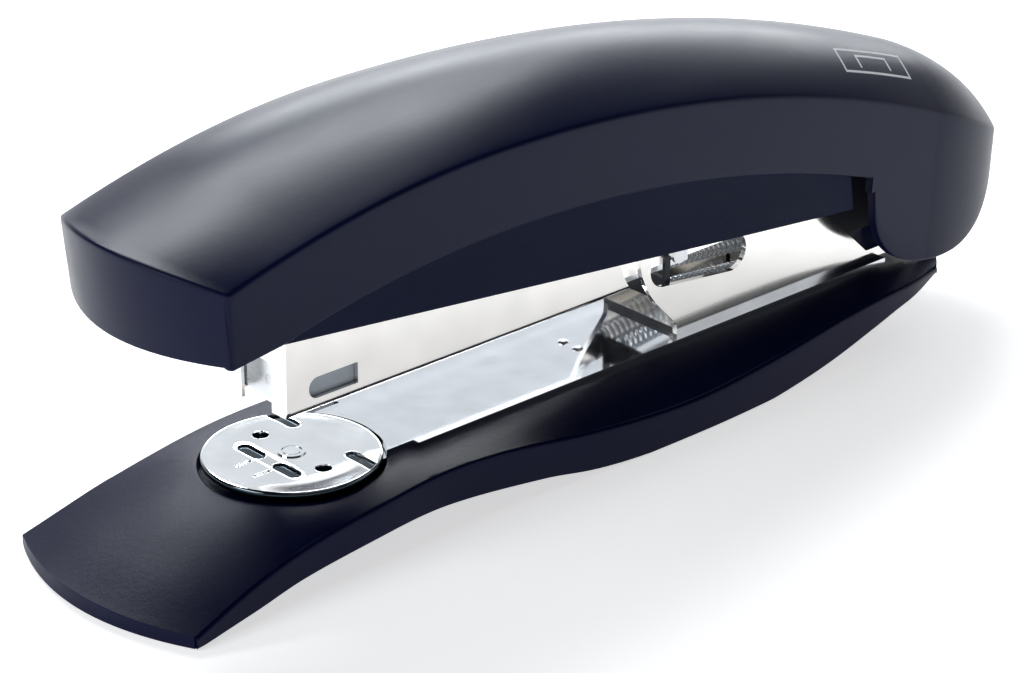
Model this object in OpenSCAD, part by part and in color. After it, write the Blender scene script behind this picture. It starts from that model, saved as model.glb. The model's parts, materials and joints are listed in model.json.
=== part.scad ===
// Desk stapler with a turning anvil, a spring-loaded pusher and a hinged handle.
//
// The magazine's front face is x = 0 in the working frame, X runs to the rear, Y across and Z up,
// with the table at z = 0. Every sub-part is drawn in that frame and then moved so that the
// origin is the bottom centre of the whole stapler.

/* [Staples] */
// Outer width of one staple's crown
crown_w = 12.9; // [11.5:0.1:14]
// Height of one staple's leg
leg_h = 6; // [5:0.5:7]

/* [Overall] */
// From the magazine's front face to the hinge axis
reach = 146; // [122:1:176]
// Height of the hinge axis above the table
hinge_z = 30; // [28:0.5:32]
// Toe of the base in front of the magazine
toe = 35.8; // [30:0.2:43]
// Cover behind the hinge axis
heel = 22; // [21:0.5:23]

/* [Base] */
// Width across the toe
base_w = 45; // [43:0.5:54]
// Height of the flat deck that the steel plate lies on
deck_z = 11.2; // [10.8:0.1:12]
// Thickness of the moulded side walls
base_wall = 2.2; // [1.6:0.1:3]
// Thickness of the moulded deck
deck_t = 3.4; // [3:0.1:3.8]
// How far the rubber feet stand proud of the moulding
foot_proud = 0.2; // [0.2:0.1:0.8]
// Thickness of the steel base plate
plate_t = 1; // [0.8:0.1:1.2]
// Width of the steel base plate
plate_w = 21.2; // [20:0.2:23]

/* [Anvil] */
// Diameter of the anvil disc
anvil_d = 29; // [26:0.5:30]
// Thickness of the anvil disc
anvil_t = 1.4; // [1.2:0.1:1.6]
// From the magazine's front face to the centre of the disc
anvil_x = 6.6; // [6:0.1:7]
// Diameter of the anvil's rivet
anvil_rivet_d = 3; // [2.5:0.1:3.5]

/* [Magazine] */
// Sheet of the magazine channel
channel_t = 0.8; // [0.6:0.1:1]
// Clearance between a staple and the channel on each side
channel_gap = 0.25; // [0.15:0.05:0.4]
// Height of the channel
channel_h = 13.8; // [12.5:0.1:14]
// Height of the channel's underside at rest
channel_z = 22.6; // [22:0.1:24]
// Channel's rear end in front of the hinge axis
channel_end = 72; // [70:1:76]
// Diameter of the pusher's guide rod
rod_d = 2.2; // [1.8:0.1:2.4]
// Length of the pusher
pusher_len = 14; // [12:1:16]

/* [Hinge] */
// Diameter of the hinge pin
hinge_d = 4; // [3.5:0.1:5]
// Running clearance on a radius
run = 0.03; // [0.02:0.01:0.08]
// Sheet of the hinge bracket
bracket_t = 1; // [0.8:0.1:1.2]
// Outer width of the hinge bracket
bracket_w = 18; // [17.5:0.1:18.4]
// Diameter of the cross pin that stops the magazine
stop_pin_d = 2.4; // [2:0.1:2.6]

/* [Handle] */
// Width of the cover at its widest
cover_w = 41.8; // [39:0.2:45]
// Height of the cover's side edge at its highest
cover_z = 62.8; // [62:0.2:66]
// Moulded wall of the cover
cover_t = 1.5; // [1.2:0.1:1.8]
// Moulded wall of the inner shell
shell_t = 1.5; // [1.2:0.1:1.8]
// Sheet of the steel handle frame
frame_t = 1.2; // [1:0.1:1.5]
// Thickness of the driver blade
blade_t = 0.5; // [0.4:0.05:0.6]

/* [Hidden] */
$fn = 64;

fit = 0.1;             // gap between neighbours that do not move on each other
slip = 0.2;            // gap between neighbours that slide on each other

// Base
hinge_x = reach;
tail_x = hinge_x + 1;          // rear corners of the base
toe_bulge = 5.8;               // how far the toe's front edge bows out
tail_bulge = 2.5;              // how far the tail's rear edge bows out
toe_x = toe_bulge - toe;       // front corners of the base
foot_z = 7;                    // top of the rubber feet inside the moulding
plate_z = deck_z;              // underside of the base plate
floor_z = plate_z + plate_t;   // top of the base plate

// Anvil
anvil_top = floor_z + 0.4;
anvil_low = anvil_top - anvil_t;
washer_t = 0.3;
tongue_z = anvil_low - washer_t - plate_t;   // underside of the plate's tongue
recess_r = anvil_d / 2 + 0.5;
rivet_head_t = 0.7;

// Magazine
channel_w = crown_w + 2 * channel_gap + 2 * channel_t;
channel_len = hinge_x - channel_end;
channel_top = channel_z + channel_h;
channel_floor = channel_z + channel_t;
flange_t = 0.6;                              // turned-in front flanges
drop_gap = 2;                                // room for the blade behind the flanges
rail_x = flange_t + drop_gap;
wire = 0.5;                                  // wire of a staple
rail_w = crown_w - 2 * wire - 0.7;
rail_t = 0.8;
rail_top = channel_floor + leg_h + 0.2;
rod_z = channel_floor + 2.9;
spring_d = 4.4;
stop_x = hinge_x - 69;                       // front of the rear stop
stop_len = 4;
pin_x = hinge_x - 63;                        // cross pin, from the magazine's hinge
pin_z = hinge_z - 2.5;
arm_t = 1;
arm_in = rail_w / 2 + fit;                   // inner faces of the magazine arm
slot_tilt = 6.5;                             // the bracket's slot drops to the rear
slot_h = 7;

// Handle
nose_x = -20.6;                              // front corners of the cover
nose_bulge = 6.5;
nose_z = 54.3;                               // side edge at the nose
rear_z = 26.7;                               // side edge at the rear tip
cover_end = hinge_x + heel;
apex_x = 34 / 146 * reach;                   // where the side edge is highest
wall_draft = 0.055;
skirt_slope = 0.1155;                        // the handle's parts drop to the rear at this slope
skirt_angle = atan(skirt_slope);
skirt_z = hinge_z - 5.9 + skirt_slope * hinge_x;   // shell's lower edge, carried on to x = 0
frame_z = channel_top + 19.1;                // underside of the frame at x = 0
frame_w = 22.8;
blade_z = channel_floor + leg_h + 1.3;       // tip of the blade at rest
blade_lean = 3.3;                            // the blade leans back, so it is upright when pressed
blade_head = channel_top + 18.4 - blade_z;   // where the blade widens to its head
head_len = 4.8;
rivet_y = 3;

x_middle = (cover_end - toe) / 2;

// ---- Helpers -------------------------------------------------------------------------------

function mix(a, b, t) = a + (b - a) * t;
function clamp01(t) = min(1, max(0, t));
function smooth_step(t) = let (u = clamp01(t)) u * u * (3 - 2 * u);
function span_of(pts, x, i = 0) = (i >= len(pts) - 2 || x < pts[i + 1][0]) ? i : span_of(pts, x, i + 1);
function slope_at(pts, i) =
    let (a = max(0, i - 1), b = min(len(pts) - 1, i + 1))
    (pts[b][1] - pts[a][1]) / (pts[b][0] - pts[a][0]);
// Smooth curve through a few [position, value] points.
function curve(pts, x) =
    let (i = span_of(pts, x), w = pts[i + 1][0] - pts[i][0], t = clamp01((x - pts[i][0]) / w))
    pts[i][1] * (2 * t * t * t - 3 * t * t + 1) + slope_at(pts, i) * w * (t * t * t - 2 * t * t + t)
    + pts[i + 1][1] * (3 * t * t - 2 * t * t * t) + slope_at(pts, i + 1) * w * (t * t * t - t * t);

module in_frame() translate([-x_middle, 0, 0]) children();

// Both sides of what is drawn on the near side.
module both_sides() {
    children();
    mirror([0, 1, 0]) children();
}

// A round bar along Y.
module bar_y(d, x, z, y0, y1) translate([x, y0, z]) rotate([-90, 0, 0]) cylinder(d = d, h = y1 - y0);

// A flat outline in X and Z, given thickness along Y.
module sheet_xz(y0, y1) translate([0, y1, 0]) rotate([90, 0, 0]) linear_extrude(y1 - y0) children();

// A bent-up channel's outline: a U with rounded lower corners.
module u_outline(w, h, t, r) {
    difference() {
        rounded_foot(w, h, r);
        translate([0, t]) rounded_foot(w - 2 * t, h, r - t);
    }
}
module rounded_foot(w, h, r) {
    translate([-w / 2, r]) square([w, h - r]);
    translate([-w / 2 + r, 0]) square([w - 2 * r, r + 0.01]);
    for (s = [-1, 1]) translate([s * (w / 2 - r), r]) circle(r);
}

sill = 0.12;                   // lift of a moulding's end walls over its rim

// A hollow moulding from cross-sections along X. Each section is a path over the outside and a
// path over the inside with as many points, both from the near rim over the top to the far rim.
module moulding(outer, inner) {
    s = len(outer);
    m = len(outer[0]);
    half = s * m;
    function tri(a, b, c, d) = [[a, b, c], [a, c, d]];
    faces = [
        for (i = [0 : s - 2], j = [0 : m - 2]) each let (a = i * m + j) concat(
            tri(a, a + 1, a + m + 1, a + m),
            tri(half + a, half + a + m, half + a + m + 1, half + a + 1)),
        for (i = [0 : s - 2]) each let (a = i * m, b = i * m + m - 1) concat(
            tri(a, a + m, half + a + m, half + a),
            tri(b, half + b, half + b + m, b + m)),
        for (j = [0 : m - 2]) each let (a = j, b = (s - 1) * m + j) concat(
            tri(a, half + a, half + a + 1, a + 1),
            tri(b, b + 1, half + b + 1, half + b))
    ];
    polyhedron([for (p = outer) each p, for (p = inner) each p], faces);
}

// ---- Base ----------------------------------------------------------------------------------

base_len = tail_x - toe_x;
// Positions along the base are shares of its length, from the toe's corners to the tail's.
function base_at(x) = (x - toe_x) / base_len;
base_half = [[0, 22.5], [0.06, 21.5], [0.13, 20.8], [0.21, 20.7], [0.3, 19.9], [0.41, 20.4],
    [0.53, 21.2], [0.66, 21.1], [0.8, 19.2], [0.93, 16.1], [1, 11.8]];
base_edge = [[0, 2.2], [0.085, 6.8], [0.17, 9.6], [0.265, 11.1], [0.35, 10.8], [0.465, 8.2],
    [0.585, 6.7], [0.695, 7.5], [0.82, 8.9], [0.905, 8.8], [1, 6.9]];
base_low = [[0, 0], [0.07, 1.6], [0.125, 3.3], [0.225, 5.1], [0.295, 5.1], [0.41, 3], [0.47, 1.2],
    [0.53, 0.3], [0.6, 0], [0.68, 0], [0.725, 0.4], [0.8, 1.8], [0.875, 4], [0.92, 5.1], [1, 5.8]];
base_crown = [[0, 2.9], [0.035, 6], [0.08, 9], [0.125, 10.7], [0.17, 11.1], [0.25, 11.2],
    [0.27, 11.2], [0.86, 11.2], [0.88, 11.2], [0.93, 10.6], [1, 9.2]];
function half_w(u) = curve(base_half, u) * base_w / 45;
function edge_z(u) = curve(base_edge, u) * deck_z / 11.2;
function low_z(u) = max(foot_proud, curve(base_low, u));
function crown_z(u) = min(deck_z - 0.02, curve(base_crown, u) * deck_z / 11.2);
// Share of the crown's height at a share t of the half width: flat under the plate.
function deck_shape(u, t) =
    let (flat = (plate_w / 2 + 0.3) / half_w(u) * smooth_step((u - 0.05) / 0.12))
    t < flat ? 1 : 1 - pow((t - flat) / (1 - flat), 1.7);
function deck_height(u, t) = mix(edge_z(u), crown_z(u), deck_shape(u, t));
// Bow of the two ends at a share t of the half width.
function bow(u, t) =
    (1 - t * t) * (tail_bulge * pow(clamp01((u - 0.9) / 0.1), 2) - toe_bulge * pow(clamp01(1 - u / 0.13), 2));

base_rows = [for (i = [0 : 12]) i / 12];
base_stations = concat([0, 0.014, 0.017], [for (i = [1 : 33]) 0.017 + i * 0.97 / 34], [0.987, 0.99, 1]);

side_draft = 0.2;                            // how far the base's sides lean in at the bottom
function base_outer(u) =
    let (w = half_w(u), x = toe_x + u * base_len, t = [for (r = base_rows) 2 * r - 1])
    concat(
        [[x, -w + side_draft, low_z(u)]],
        [for (k = t) [x + bow(u, abs(k)), k * w, deck_height(u, abs(k))]],
        [[x, w - side_draft, low_z(u)]]);
function base_inner(u) =
    let (w = half_w(u) - base_wall, x = toe_x + u * base_len, t = [for (r = base_rows) 2 * r - 1],
        shut = (u < 0.016 || u > 0.988))
    concat(
        [[x, -w, low_z(u)]],
        [for (k = t) [x + bow(u, abs(k)), k * w * 0.98,
            shut ? low_z(u) + sill : max(low_z(u) + 0.4, deck_height(u, abs(k)) - deck_t)]],
        [[x, w, low_z(u)]]);

module base_shell() color("#1b2038") in_frame() difference() {
    moulding([for (u = base_stations) base_outer(u)], [for (u = base_stations) base_inner(u)]);
    translate([anvil_x, 0, tongue_z - 0.05]) cylinder(r = recess_r, h = 20);
    translate([anvil_x, 0, tongue_z - rivet_head_t - 0.2]) cylinder(d = anvil_rivet_d + 3, h = 20);
    translate([anvil_x, -tongue_w / 2 - fit, tongue_z - 0.05])
        cube([recess_r + tongue_step + 2, tongue_w + 2 * fit, 20]);
    for (x = screw_x) translate([x, 0, 0]) cylinder(d = screw_d + 0.4, h = 30);
}

function foot_outline(u0, u1, inset) = concat(
    [for (i = [0 : 12]) let (u = mix(u0, u1, i / 12)) [toe_x + u * base_len, -half_w(u) + inset]],
    [for (i = [12 : -1 : 0]) let (u = mix(u0, u1, i / 12)) [toe_x + u * base_len, half_w(u) - inset]]);

// A rubber pad with two pegs that reach up to the moulding's deck.
module foot(u0, u1, top, peg_y) color("#26272b") in_frame() {
    u = mix(u0, u1, 0.5);
    x = toe_x + u * base_len;
    linear_extrude(top) polygon(foot_outline(u0, u1, base_wall + 1.4));
    both_sides() translate([x, -peg_y, 0])
        cylinder(d = peg_d,
            h = deck_height(base_at(x - peg_d / 2), (peg_y + peg_d / 2) / half_w(u)) - deck_t - 0.05);
}
peg_d = 4;

module front_foot() foot(0.046, 0.082, 1.8, 5);
module rear_foot() foot(0.56, 0.72, 3, 7);

tongue_w = 20;
tongue_step = 3;               // the tongue steps down this far behind the disc
plate_end = hinge_x - 12;

module base_plate() color("#c9ccd2") in_frame() difference() {
    union() {
        translate([anvil_x, -plate_w / 2, plate_z]) cube([plate_end - anvil_x, plate_w, plate_t]);
        translate([anvil_x, 0, tongue_z]) cylinder(d = tongue_w, h = plate_t);
        translate([anvil_x, -tongue_w / 2, tongue_z]) cube([recess_r + tongue_step, tongue_w, plate_t]);
        translate([anvil_x + recess_r + 1, -tongue_w / 2, tongue_z])
            cube([plate_t, tongue_w, floor_z - tongue_z]);
    }
    translate([anvil_x, 0, plate_z - 0.01]) cylinder(r = recess_r, h = 10);
    translate([anvil_x, 0, 0]) cylinder(d = anvil_rivet_d + 2 * run, h = 30);
    both_sides() translate([anvil_x, -plate_w / 2 - 1, 0]) cube([24 - anvil_x, 2.4, 30]);
    for (x = screw_x) translate([x, 0, 0]) cylinder(d = screw_d, h = plate_z + screw_bite);
    for (s = [-1, 1]) translate([rivet_row, s * 1.8, 0]) cylinder(d = 1.2, h = 30);
    for (x = bracket_rivet_x) translate([x, 0, 0]) cylinder(d = 3, h = 30);
}

rivet_row = hinge_x - 79;
screw_d = 2.5;
screw_bite = 0.6;                             // how far the screws reach into the plate's blind holes
screw_x = [42, hinge_x - 54];
bracket_rivet_x = [hinge_x - 44, hinge_x - 22];

// Small domed rivets that close the plate in front of the bracket.
module plate_rivets() color("#d8dade") in_frame()
    for (s = [-1, 1]) translate([rivet_row, s * 1.8, plate_z]) {
        cylinder(d = 1.2, h = plate_t);
        translate([0, 0, plate_t]) cylinder(d1 = 1.9, d2 = 1.1, h = 0.35);
    }

// Screws from below that hold the plate on the moulding.
module base_screws() color("#8e9096") in_frame()
    for (x = screw_x) let (head = max(low_z(base_at(x)) + 0.6, deck_z - deck_t - 1.9))
        translate([x, 0, head]) difference() {
            union() {
                cylinder(d = 5, h = 1.8);
                cylinder(d = screw_d, h = plate_z + screw_bite - head);
            }
            translate([-1.6, -0.3, -0.1]) cube([3.2, 0.6, 0.9]);
            translate([-0.3, -1.6, -0.1]) cube([0.6, 3.2, 0.9]);
        }

// ---- Hinge bracket --------------------------------------------------------------------------

bracket_z = floor_z;                          // underside of the bracket
bracket_top = hinge_z + 4.5;
tab_w = 15;
tab_h = 7.6;
ear_r = 4.5;
// Front edge of the bracket's walls: distance in front of the hinge at a height above the floor.
bracket_lip = [[0, 62.6], [2, 62.8], [5, 65.6], [8.4, 68.6], [13, 71], [17, 71.8], [22.3, 71.8]];

module bracket_wall() difference() {
    union() {
        polygon(concat(
            [for (i = [0 : 12]) let (h = i / 12 * (bracket_top - bracket_z))
                [hinge_x - curve(bracket_lip, h), bracket_z + h]],
            [[hinge_x - 37, bracket_top], [hinge_x - 25.8, bracket_z + 11.6],
                [hinge_x - 15.4, bracket_z + 1.8],
                [hinge_x - 9, bracket_z + 1.8], [hinge_x - ear_r, hinge_z], [hinge_x + ear_r, hinge_z],
                [hinge_x + 1, bracket_z]]));
        translate([hinge_x, hinge_z]) circle(ear_r);
    }
    translate([hinge_x, hinge_z]) circle(d = hinge_d);
    // Oblong window that the cross pin moves in, stopped by its upper edge.
    translate([pin_x, pin_z + stop_pin_d / 2 + 0.1]) rotate(-slot_tilt) translate([-5.8, -slot_h]) {
        translate([slot_h / 2, 0]) square([16, slot_h]);
        for (x = [0, 16]) translate([x + slot_h / 2, slot_h / 2]) circle(slot_h / 2);
    }
}

module hinge_bracket() color("#e6e4df") in_frame() difference() {
    union() {
        both_sides() sheet_xz(-bracket_w / 2, -bracket_w / 2 + bracket_t) bracket_wall();
        translate([hinge_x - 62.6, -bracket_w / 2 + bracket_t / 2, bracket_z])
            cube([63.6, bracket_w - bracket_t, bracket_t]);
        // Turned-up tab that the return springs hook on.
        translate([return_x + return_len * cos(return_tilt) + fit, -tab_w / 2, bracket_z])
            cube([bracket_t, tab_w, tab_h]);
    }
    for (x = bracket_rivet_x) translate([x, 0, 0]) cylinder(d = 3, h = 30);
    translate([screw_x[1], 0, 0]) cylinder(d = 6, h = 30);
}

module bracket_rivets() color("#b9bbc0") in_frame()
    for (x = bracket_rivet_x) translate([x, 0, plate_z]) {
        cylinder(d = 3, h = plate_t + bracket_t);
        translate([0, 0, plate_t + bracket_t]) cylinder(d = 5, h = 0.9);
    }

ear_out = frame_w / 2;

module hinge_pin() color("#9a9ca2") in_frame() bar_y(hinge_d, hinge_x, hinge_z, -ear_out - 1, ear_out + 1);

module pin_clips() color("#55575c") in_frame() both_sides() difference() {
    bar_y(hinge_d + 2.6, hinge_x, hinge_z, -ear_out - 0.8, -ear_out - 0.2);
    bar_y(hinge_d, hinge_x, hinge_z, -ear_out - 2, ear_out);
    translate([hinge_x - 0.8, -ear_out - 2, hinge_z]) cube([1.6, 4, 6]);
}

// ---- Anvil ---------------------------------------------------------------------------------

clinch_x = 2;                  // where the blade meets the disc

module anvil_profile() {
    square([anvil_d / 2 - 0.5, anvil_t]);
    translate([0, 0.5]) square([anvil_d / 2, anvil_t - 1]);
    for (z = [0.5, anvil_t - 0.5]) translate([anvil_d / 2 - 0.5, z]) circle(0.5);
}

// A shallow groove along Y, pressed by a round tool.
module pressed_groove(x, y0, y1, r, depth) bar_y(2 * r, x, anvil_top + r - depth, y0, y1);

module anvil_disc() color("#dfe2e6") in_frame() difference() {
    translate([anvil_x, 0, anvil_low]) rotate_extrude() intersection() {
        anvil_profile();
        square([anvil_d, anvil_d]);
    }
    translate([anvil_x, 0, 0]) cylinder(d = anvil_rivet_d, h = 30);
    pressed_groove(clinch_x, -7.8, 7.8, 4, 0.25);
    both_sides() {
        pressed_groove(clinch_x, -7.6, -1.2, 1.6, 0.6);
        pressed_groove(2 * anvil_x - clinch_x, -anvil_d / 2, -6.2, 1.6, 0.55);
        translate([anvil_x, -7.9, 0]) cylinder(d = 2.6, h = 30);
    }
    for (y = [1.7, -2.9]) translate([-3, y - 0.15, anvil_top - 0.2]) cube([2.8, 0.3, 1]);
}

module anvil_rivet() color("#b4b7bd") in_frame() translate([anvil_x, 0, 0]) difference() {
    union() {
        translate([0, 0, tongue_z - rivet_head_t]) cylinder(d = anvil_rivet_d + 2, h = rivet_head_t - 0.03);
        translate([0, 0, tongue_z - 0.1]) cylinder(d = anvil_rivet_d, h = anvil_top - tongue_z + 0.1);
        translate([0, 0, anvil_top]) cylinder(d = 4.6, h = 0.2);
    }
    translate([0, 0, anvil_top + 0.05]) difference() {
        cylinder(d = 3.4, h = 1);
        translate([0, 0, -1]) cylinder(d = 2.8, h = 3);
    }
}

module anvil_washer() color("#8c8f96") in_frame() translate([anvil_x, 0, tongue_z + plate_t]) difference() {
    cylinder(d = 9, h = washer_t - 0.05);
    translate([0, 0, -1]) cylinder(d = anvil_rivet_d + 0.3, h = 3);
}

// ---- Magazine ------------------------------------------------------------------------------

module magazine_channel() color("#ece9e4") in_frame() difference() {
    union() {
        translate([flange_t, 0, channel_z]) rotate([90, 0, 90])
            linear_extrude(channel_len - flange_t) u_outline(channel_w, channel_h, channel_t, 1.3);
        // Front flanges, turned in from the walls and wider at the top.
        both_sides() translate([0, 0, channel_z]) rotate([90, 0, 90]) linear_extrude(flange_t)
            polygon([[-channel_w / 2, 1.3], [-channel_w / 2 + 0.4, 0.3], [-3.7, 0.3], [-3.9, 7.9],
                [-2.7, 8.9], [-2.7, channel_h], [-channel_w / 2, channel_h]]);
    }
    // Where a staple drops out.
    translate([flange_t, -channel_w / 2 + channel_t, channel_z - 1])
        cube([drop_gap, channel_w - 2 * channel_t, 3]);
    // Staple window in both walls.
    sheet_xz(-channel_w, channel_w) translate([4.4, channel_z + 2.2]) {
        translate([1.8, 0]) square([8.1, 3.6]);
        translate([1.8, 1.8]) circle(1.8);
    }
    // Curved cut at the rear of the walls.
    bar_y(18, channel_len + 6.4, channel_z + 6.6, -channel_w, channel_w);
}

module staple_rail() color("#a9abb0") in_frame() difference() {
    translate([rail_x, -rail_w / 2, channel_floor])
        cube([pin_x + 6 - rail_x, rail_w, rail_top - channel_floor]);
    translate([rail_x + 1, -rail_w / 2 + rail_t, channel_floor - 1])
        cube([200, rail_w - 2 * rail_t, rail_top - channel_floor - rail_t + 1]);
    // Slot in the top that the pusher's web runs in.
    translate([rail_x + 3, -1.2, 0]) cube([stop_x - rail_x - 3, 2.4, 100]);
    translate([0, 0, rod_z]) rotate([0, 90, 0]) cylinder(d = rod_d, h = 20);
    bar_y(stop_pin_d, pin_x, pin_z, -20, 20);
}

module guide_rod() color("#7f8187") in_frame()
    translate([rail_x, 0, rod_z]) rotate([0, 90, 0]) cylinder(d = rod_d, h = stop_x + stop_len - rail_x);

module rear_stop() color("#3a3c42") in_frame() difference() {
    translate([stop_x, -rail_w / 2 + rail_t + fit, channel_floor + 0.2])
        cube([stop_len, rail_w - 2 * rail_t - 2 * fit, rail_top - rail_t - channel_floor - 0.3]);
    translate([0, 0, rod_z]) rotate([0, 90, 0]) cylinder(d = rod_d, h = 300);
}

// Two steel arms that join the channel and the rail to the hinge block.
arm_low = channel_floor + 1.6;
arm_end = hinge_x - 34;
block_x = hinge_x - 40;
block_low = floor_z + 5.2;                   // the block's apron, which closes the bracket's rear
module arm_outline() difference() {
    polygon([[channel_len - 8, arm_low], [arm_end, arm_low], [arm_end, hinge_z + 2.4],
        [channel_len - 8, hinge_z + 2.4]]);
    translate([pin_x, pin_z]) circle(d = stop_pin_d);
}

// Dark moulded block that turns on the hinge pin and carries the arms.
module block_outline() difference() {
    union() {
        polygon([[block_x, arm_low + 0.4], [hinge_x - 27, arm_low + 0.4], [hinge_x - 24, block_low],
            [hinge_x - 10, block_low], [hinge_x, hinge_z - 4.4],
            [hinge_x, hinge_z + 4.4], [block_x, hinge_z + 2]]);
        translate([hinge_x, hinge_z]) circle(4.4);
    }
    translate([hinge_x, hinge_z]) circle(d = hinge_d + 2 * run);
}

module hinge_block() color("#1f2026") in_frame() {
    sheet_xz(-arm_in + 0.02, arm_in - 0.02) block_outline();
    // Shoulders behind the arms, out to the bracket.
    both_sides() sheet_xz(-arm_in - arm_t, -arm_in + 0.02) intersection() {
        block_outline();
        translate([arm_end + 0.2, 0]) square([100, 100]);
    }
}

module magazine_arm() color("#dcdad6") in_frame() {
    both_sides() sheet_xz(-arm_in - arm_t, -arm_in) arm_outline();
    translate([pin_x + 9, -arm_in - 0.01, hinge_z + 1.4]) cube([block_x - pin_x - 9.2, 2 * arm_in + 0.02, 1]);
}

module stop_pin() color("#c4c6cb") in_frame() {
    bar_y(stop_pin_d, pin_x, pin_z, -bracket_w / 2 - 0.15, bracket_w / 2 + 0.15);
    both_sides() bar_y(stop_pin_d + 0.9, pin_x, pin_z, -bracket_w / 2 - 0.9, -bracket_w / 2 - 0.15);
}

// Dark stirrup that hangs on the cross pin and seats the two return springs.
yoke_y = arm_in + arm_t + fit;
yoke_t = 0.7;
seat_z = bracket_z + 7.2;
module spring_yoke() color("#202126") in_frame() {
    both_sides() difference() {
        union() {
            bar_y(stop_pin_d + 1.4, pin_x, pin_z, -yoke_y - yoke_t, -yoke_y);
            translate([pin_x - 1.2, -yoke_y - yoke_t, seat_z - 1.4])
                cube([1.2, yoke_t, pin_z - seat_z + 1.4]);
        }
        bar_y(stop_pin_d, pin_x, pin_z, -20, 20);
    }
    translate([pin_x - 1.2, -yoke_y - yoke_t, seat_z - 1.4])
        cube([1, 2 * (yoke_y + yoke_t), channel_z - seat_z + 1.2]);
}

return_len = 30;
return_tilt = 5.5;
return_x = pin_x + 0.1;
// Two coil springs between the yoke and the bracket, drawn as the tubes that they fill.
module return_springs() color("#9fa1a6") in_frame() both_sides()
    translate([return_x, -arm_in + 0.4, seat_z]) rotate([0, 90 + return_tilt, 0]) difference() {
        cylinder(d = 3.6, h = return_len);
        translate([0, 0, -1]) cylinder(d = 2.4, h = return_len + 2);
    }

// ---- Pusher --------------------------------------------------------------------------------

pusher_x = rail_x + 0.1;
pusher_w = channel_w - 2 * channel_t - 2 * slip;
pusher_top = rail_top + 1.6;
lug_len = 5;
lug_x = rail_x + 4;

module pusher() color("#a1a8b2") in_frame() difference() {
    union() {
        difference() {
            translate([pusher_x, -pusher_w / 2, channel_floor + slip])
                cube([pusher_len, pusher_w, pusher_top - channel_floor - slip]);
            translate([pusher_x - 1, -rail_w / 2 - slip, channel_floor - 1])
                cube([pusher_len + 2, rail_w + 2 * slip, rail_top + slip - channel_floor + 1]);
        }
        translate([lug_x, -0.9, rod_z]) cube([lug_len, 1.8, pusher_top - rod_z]);
        translate([lug_x, -rail_w / 2 + rail_t + slip, channel_floor + 0.4])
            cube([lug_len, rail_w - 2 * rail_t - 2 * slip, rail_top - rail_t - slip - channel_floor - 0.4]);
    }
    translate([0, 0, rod_z]) rotate([0, 90, 0]) cylinder(d = rod_d + 2 * run, h = 100);
}

// Long coil on the guide rod, drawn as the tube that it fills.
module pusher_spring() color("#a3a5aa") in_frame()
    translate([lug_x + lug_len + 0.1, 0, rod_z]) rotate([0, 90, 0]) difference() {
        cylinder(d = spring_d, h = stop_x - lug_x - lug_len - 0.2);
        translate([0, 0, -1]) cylinder(d = rod_d + 0.6, h = 200);
    }

// ---- Handle --------------------------------------------------------------------------------

round_x = cover_end - 30;      // where the cover starts to round off in plan
function cover_half(x) = let (k = cover_w / 41.8)
    x < round_x ? k * (20.9 - 2.9 * pow((x - 10) / (round_x - 10), 2))
    : k * 18 * sqrt(max(0.004, 1 - pow((x - round_x) / (cover_end + 0.06 - round_x), 2)));
function side_z(x) = cover_z - (x < apex_x
    ? (cover_z - nose_z) * pow((x - apex_x) / (nose_x - apex_x), 2)
    : (cover_z - rear_z) * pow((x - apex_x) / (cover_end - apex_x), 2));
crown_x = cover_end - 24;
function crown_rise(x) = x < crown_x
    ? 2.9 + 6.7 * pow((x - nose_x) / (crown_x - nose_x), 0.92)
    : 9.6 * sqrt(max(0.003, 1 - pow((x - crown_x) / (cover_end + 0.03 - crown_x), 2)));
// Height of the arch that the cover's lower edge makes over the inner shell.
arch_x = apex_x + 2;
leg_x = hinge_x - 24.4;        // front of the leg that covers the hinge
function arch_z(x) = cover_z - 14.2 - (x < arch_x
    ? 5.6 * pow((x - arch_x) / (nose_x + 11 - arch_x), 2)
    : 15.7 * pow((x - arch_x) / (leg_x - arch_x), 2));
// Lower edge of the leg: a rounded lobe round the hinge.
lobe_x = hinge_x - 1;
function lobe_z(x) =
    let (t = abs(x - lobe_x) / (x < lobe_x ? 22.5 : heel - 1.8), e = x < lobe_x ? 2.3 : 1.95)
    hinge_z - 18.2 * pow(max(0, 1 - pow(t, e)), 1 / e);
function rim_z(x) =
    x < nose_x + 11 ? arch_z(nose_x + 11) - 0.126 * (nose_x + 11 - x)
    : x < leg_x ? arch_z(x)
    : min(lobe_z(x), side_z(x) - 2.2);

// Side walls, thick in the leg, where they carry a web round the hinge.
leg_web = cover_w / 2 - 17.1;    // what the leg's walls have over the cover's, down to the hinge's width
function cover_side(x) = x < leg_x - 0.1 ? cover_t
    : cover_t + max(0, leg_web - 1.7 * smooth_step((x - leg_x - 12) / 5)
        - 1.2 * smooth_step((x - hinge_x - 4) / 12));
cover_rows = [for (i = [0 : 12]) i / 6 - 1];
function nose_shift(x, y, z) = let (fade = pow(clamp01(1 - (x - nose_x) / 16), 2), t = y / cover_half(nose_x))
    fade * (0.1 * (nose_z - z) - nose_bulge * (1 - t * t));
function at_nose(x, y, z) = [x + nose_shift(x, y, z), y, z];
function cover_outer(x) =
    let (w = cover_half(x), s = side_z(x), r = rim_z(x), h = crown_rise(x), low = w - wall_draft * (s - r),
        mid = (w + low) / 2)
    concat(
        [at_nose(x, -low, r), at_nose(x, -mid, (s + r) / 2)],
        [for (t = cover_rows) at_nose(x, t * w, s + h * (1 - t * t))],
        [at_nose(x, mid, (s + r) / 2), at_nose(x, low, r)]);
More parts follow.
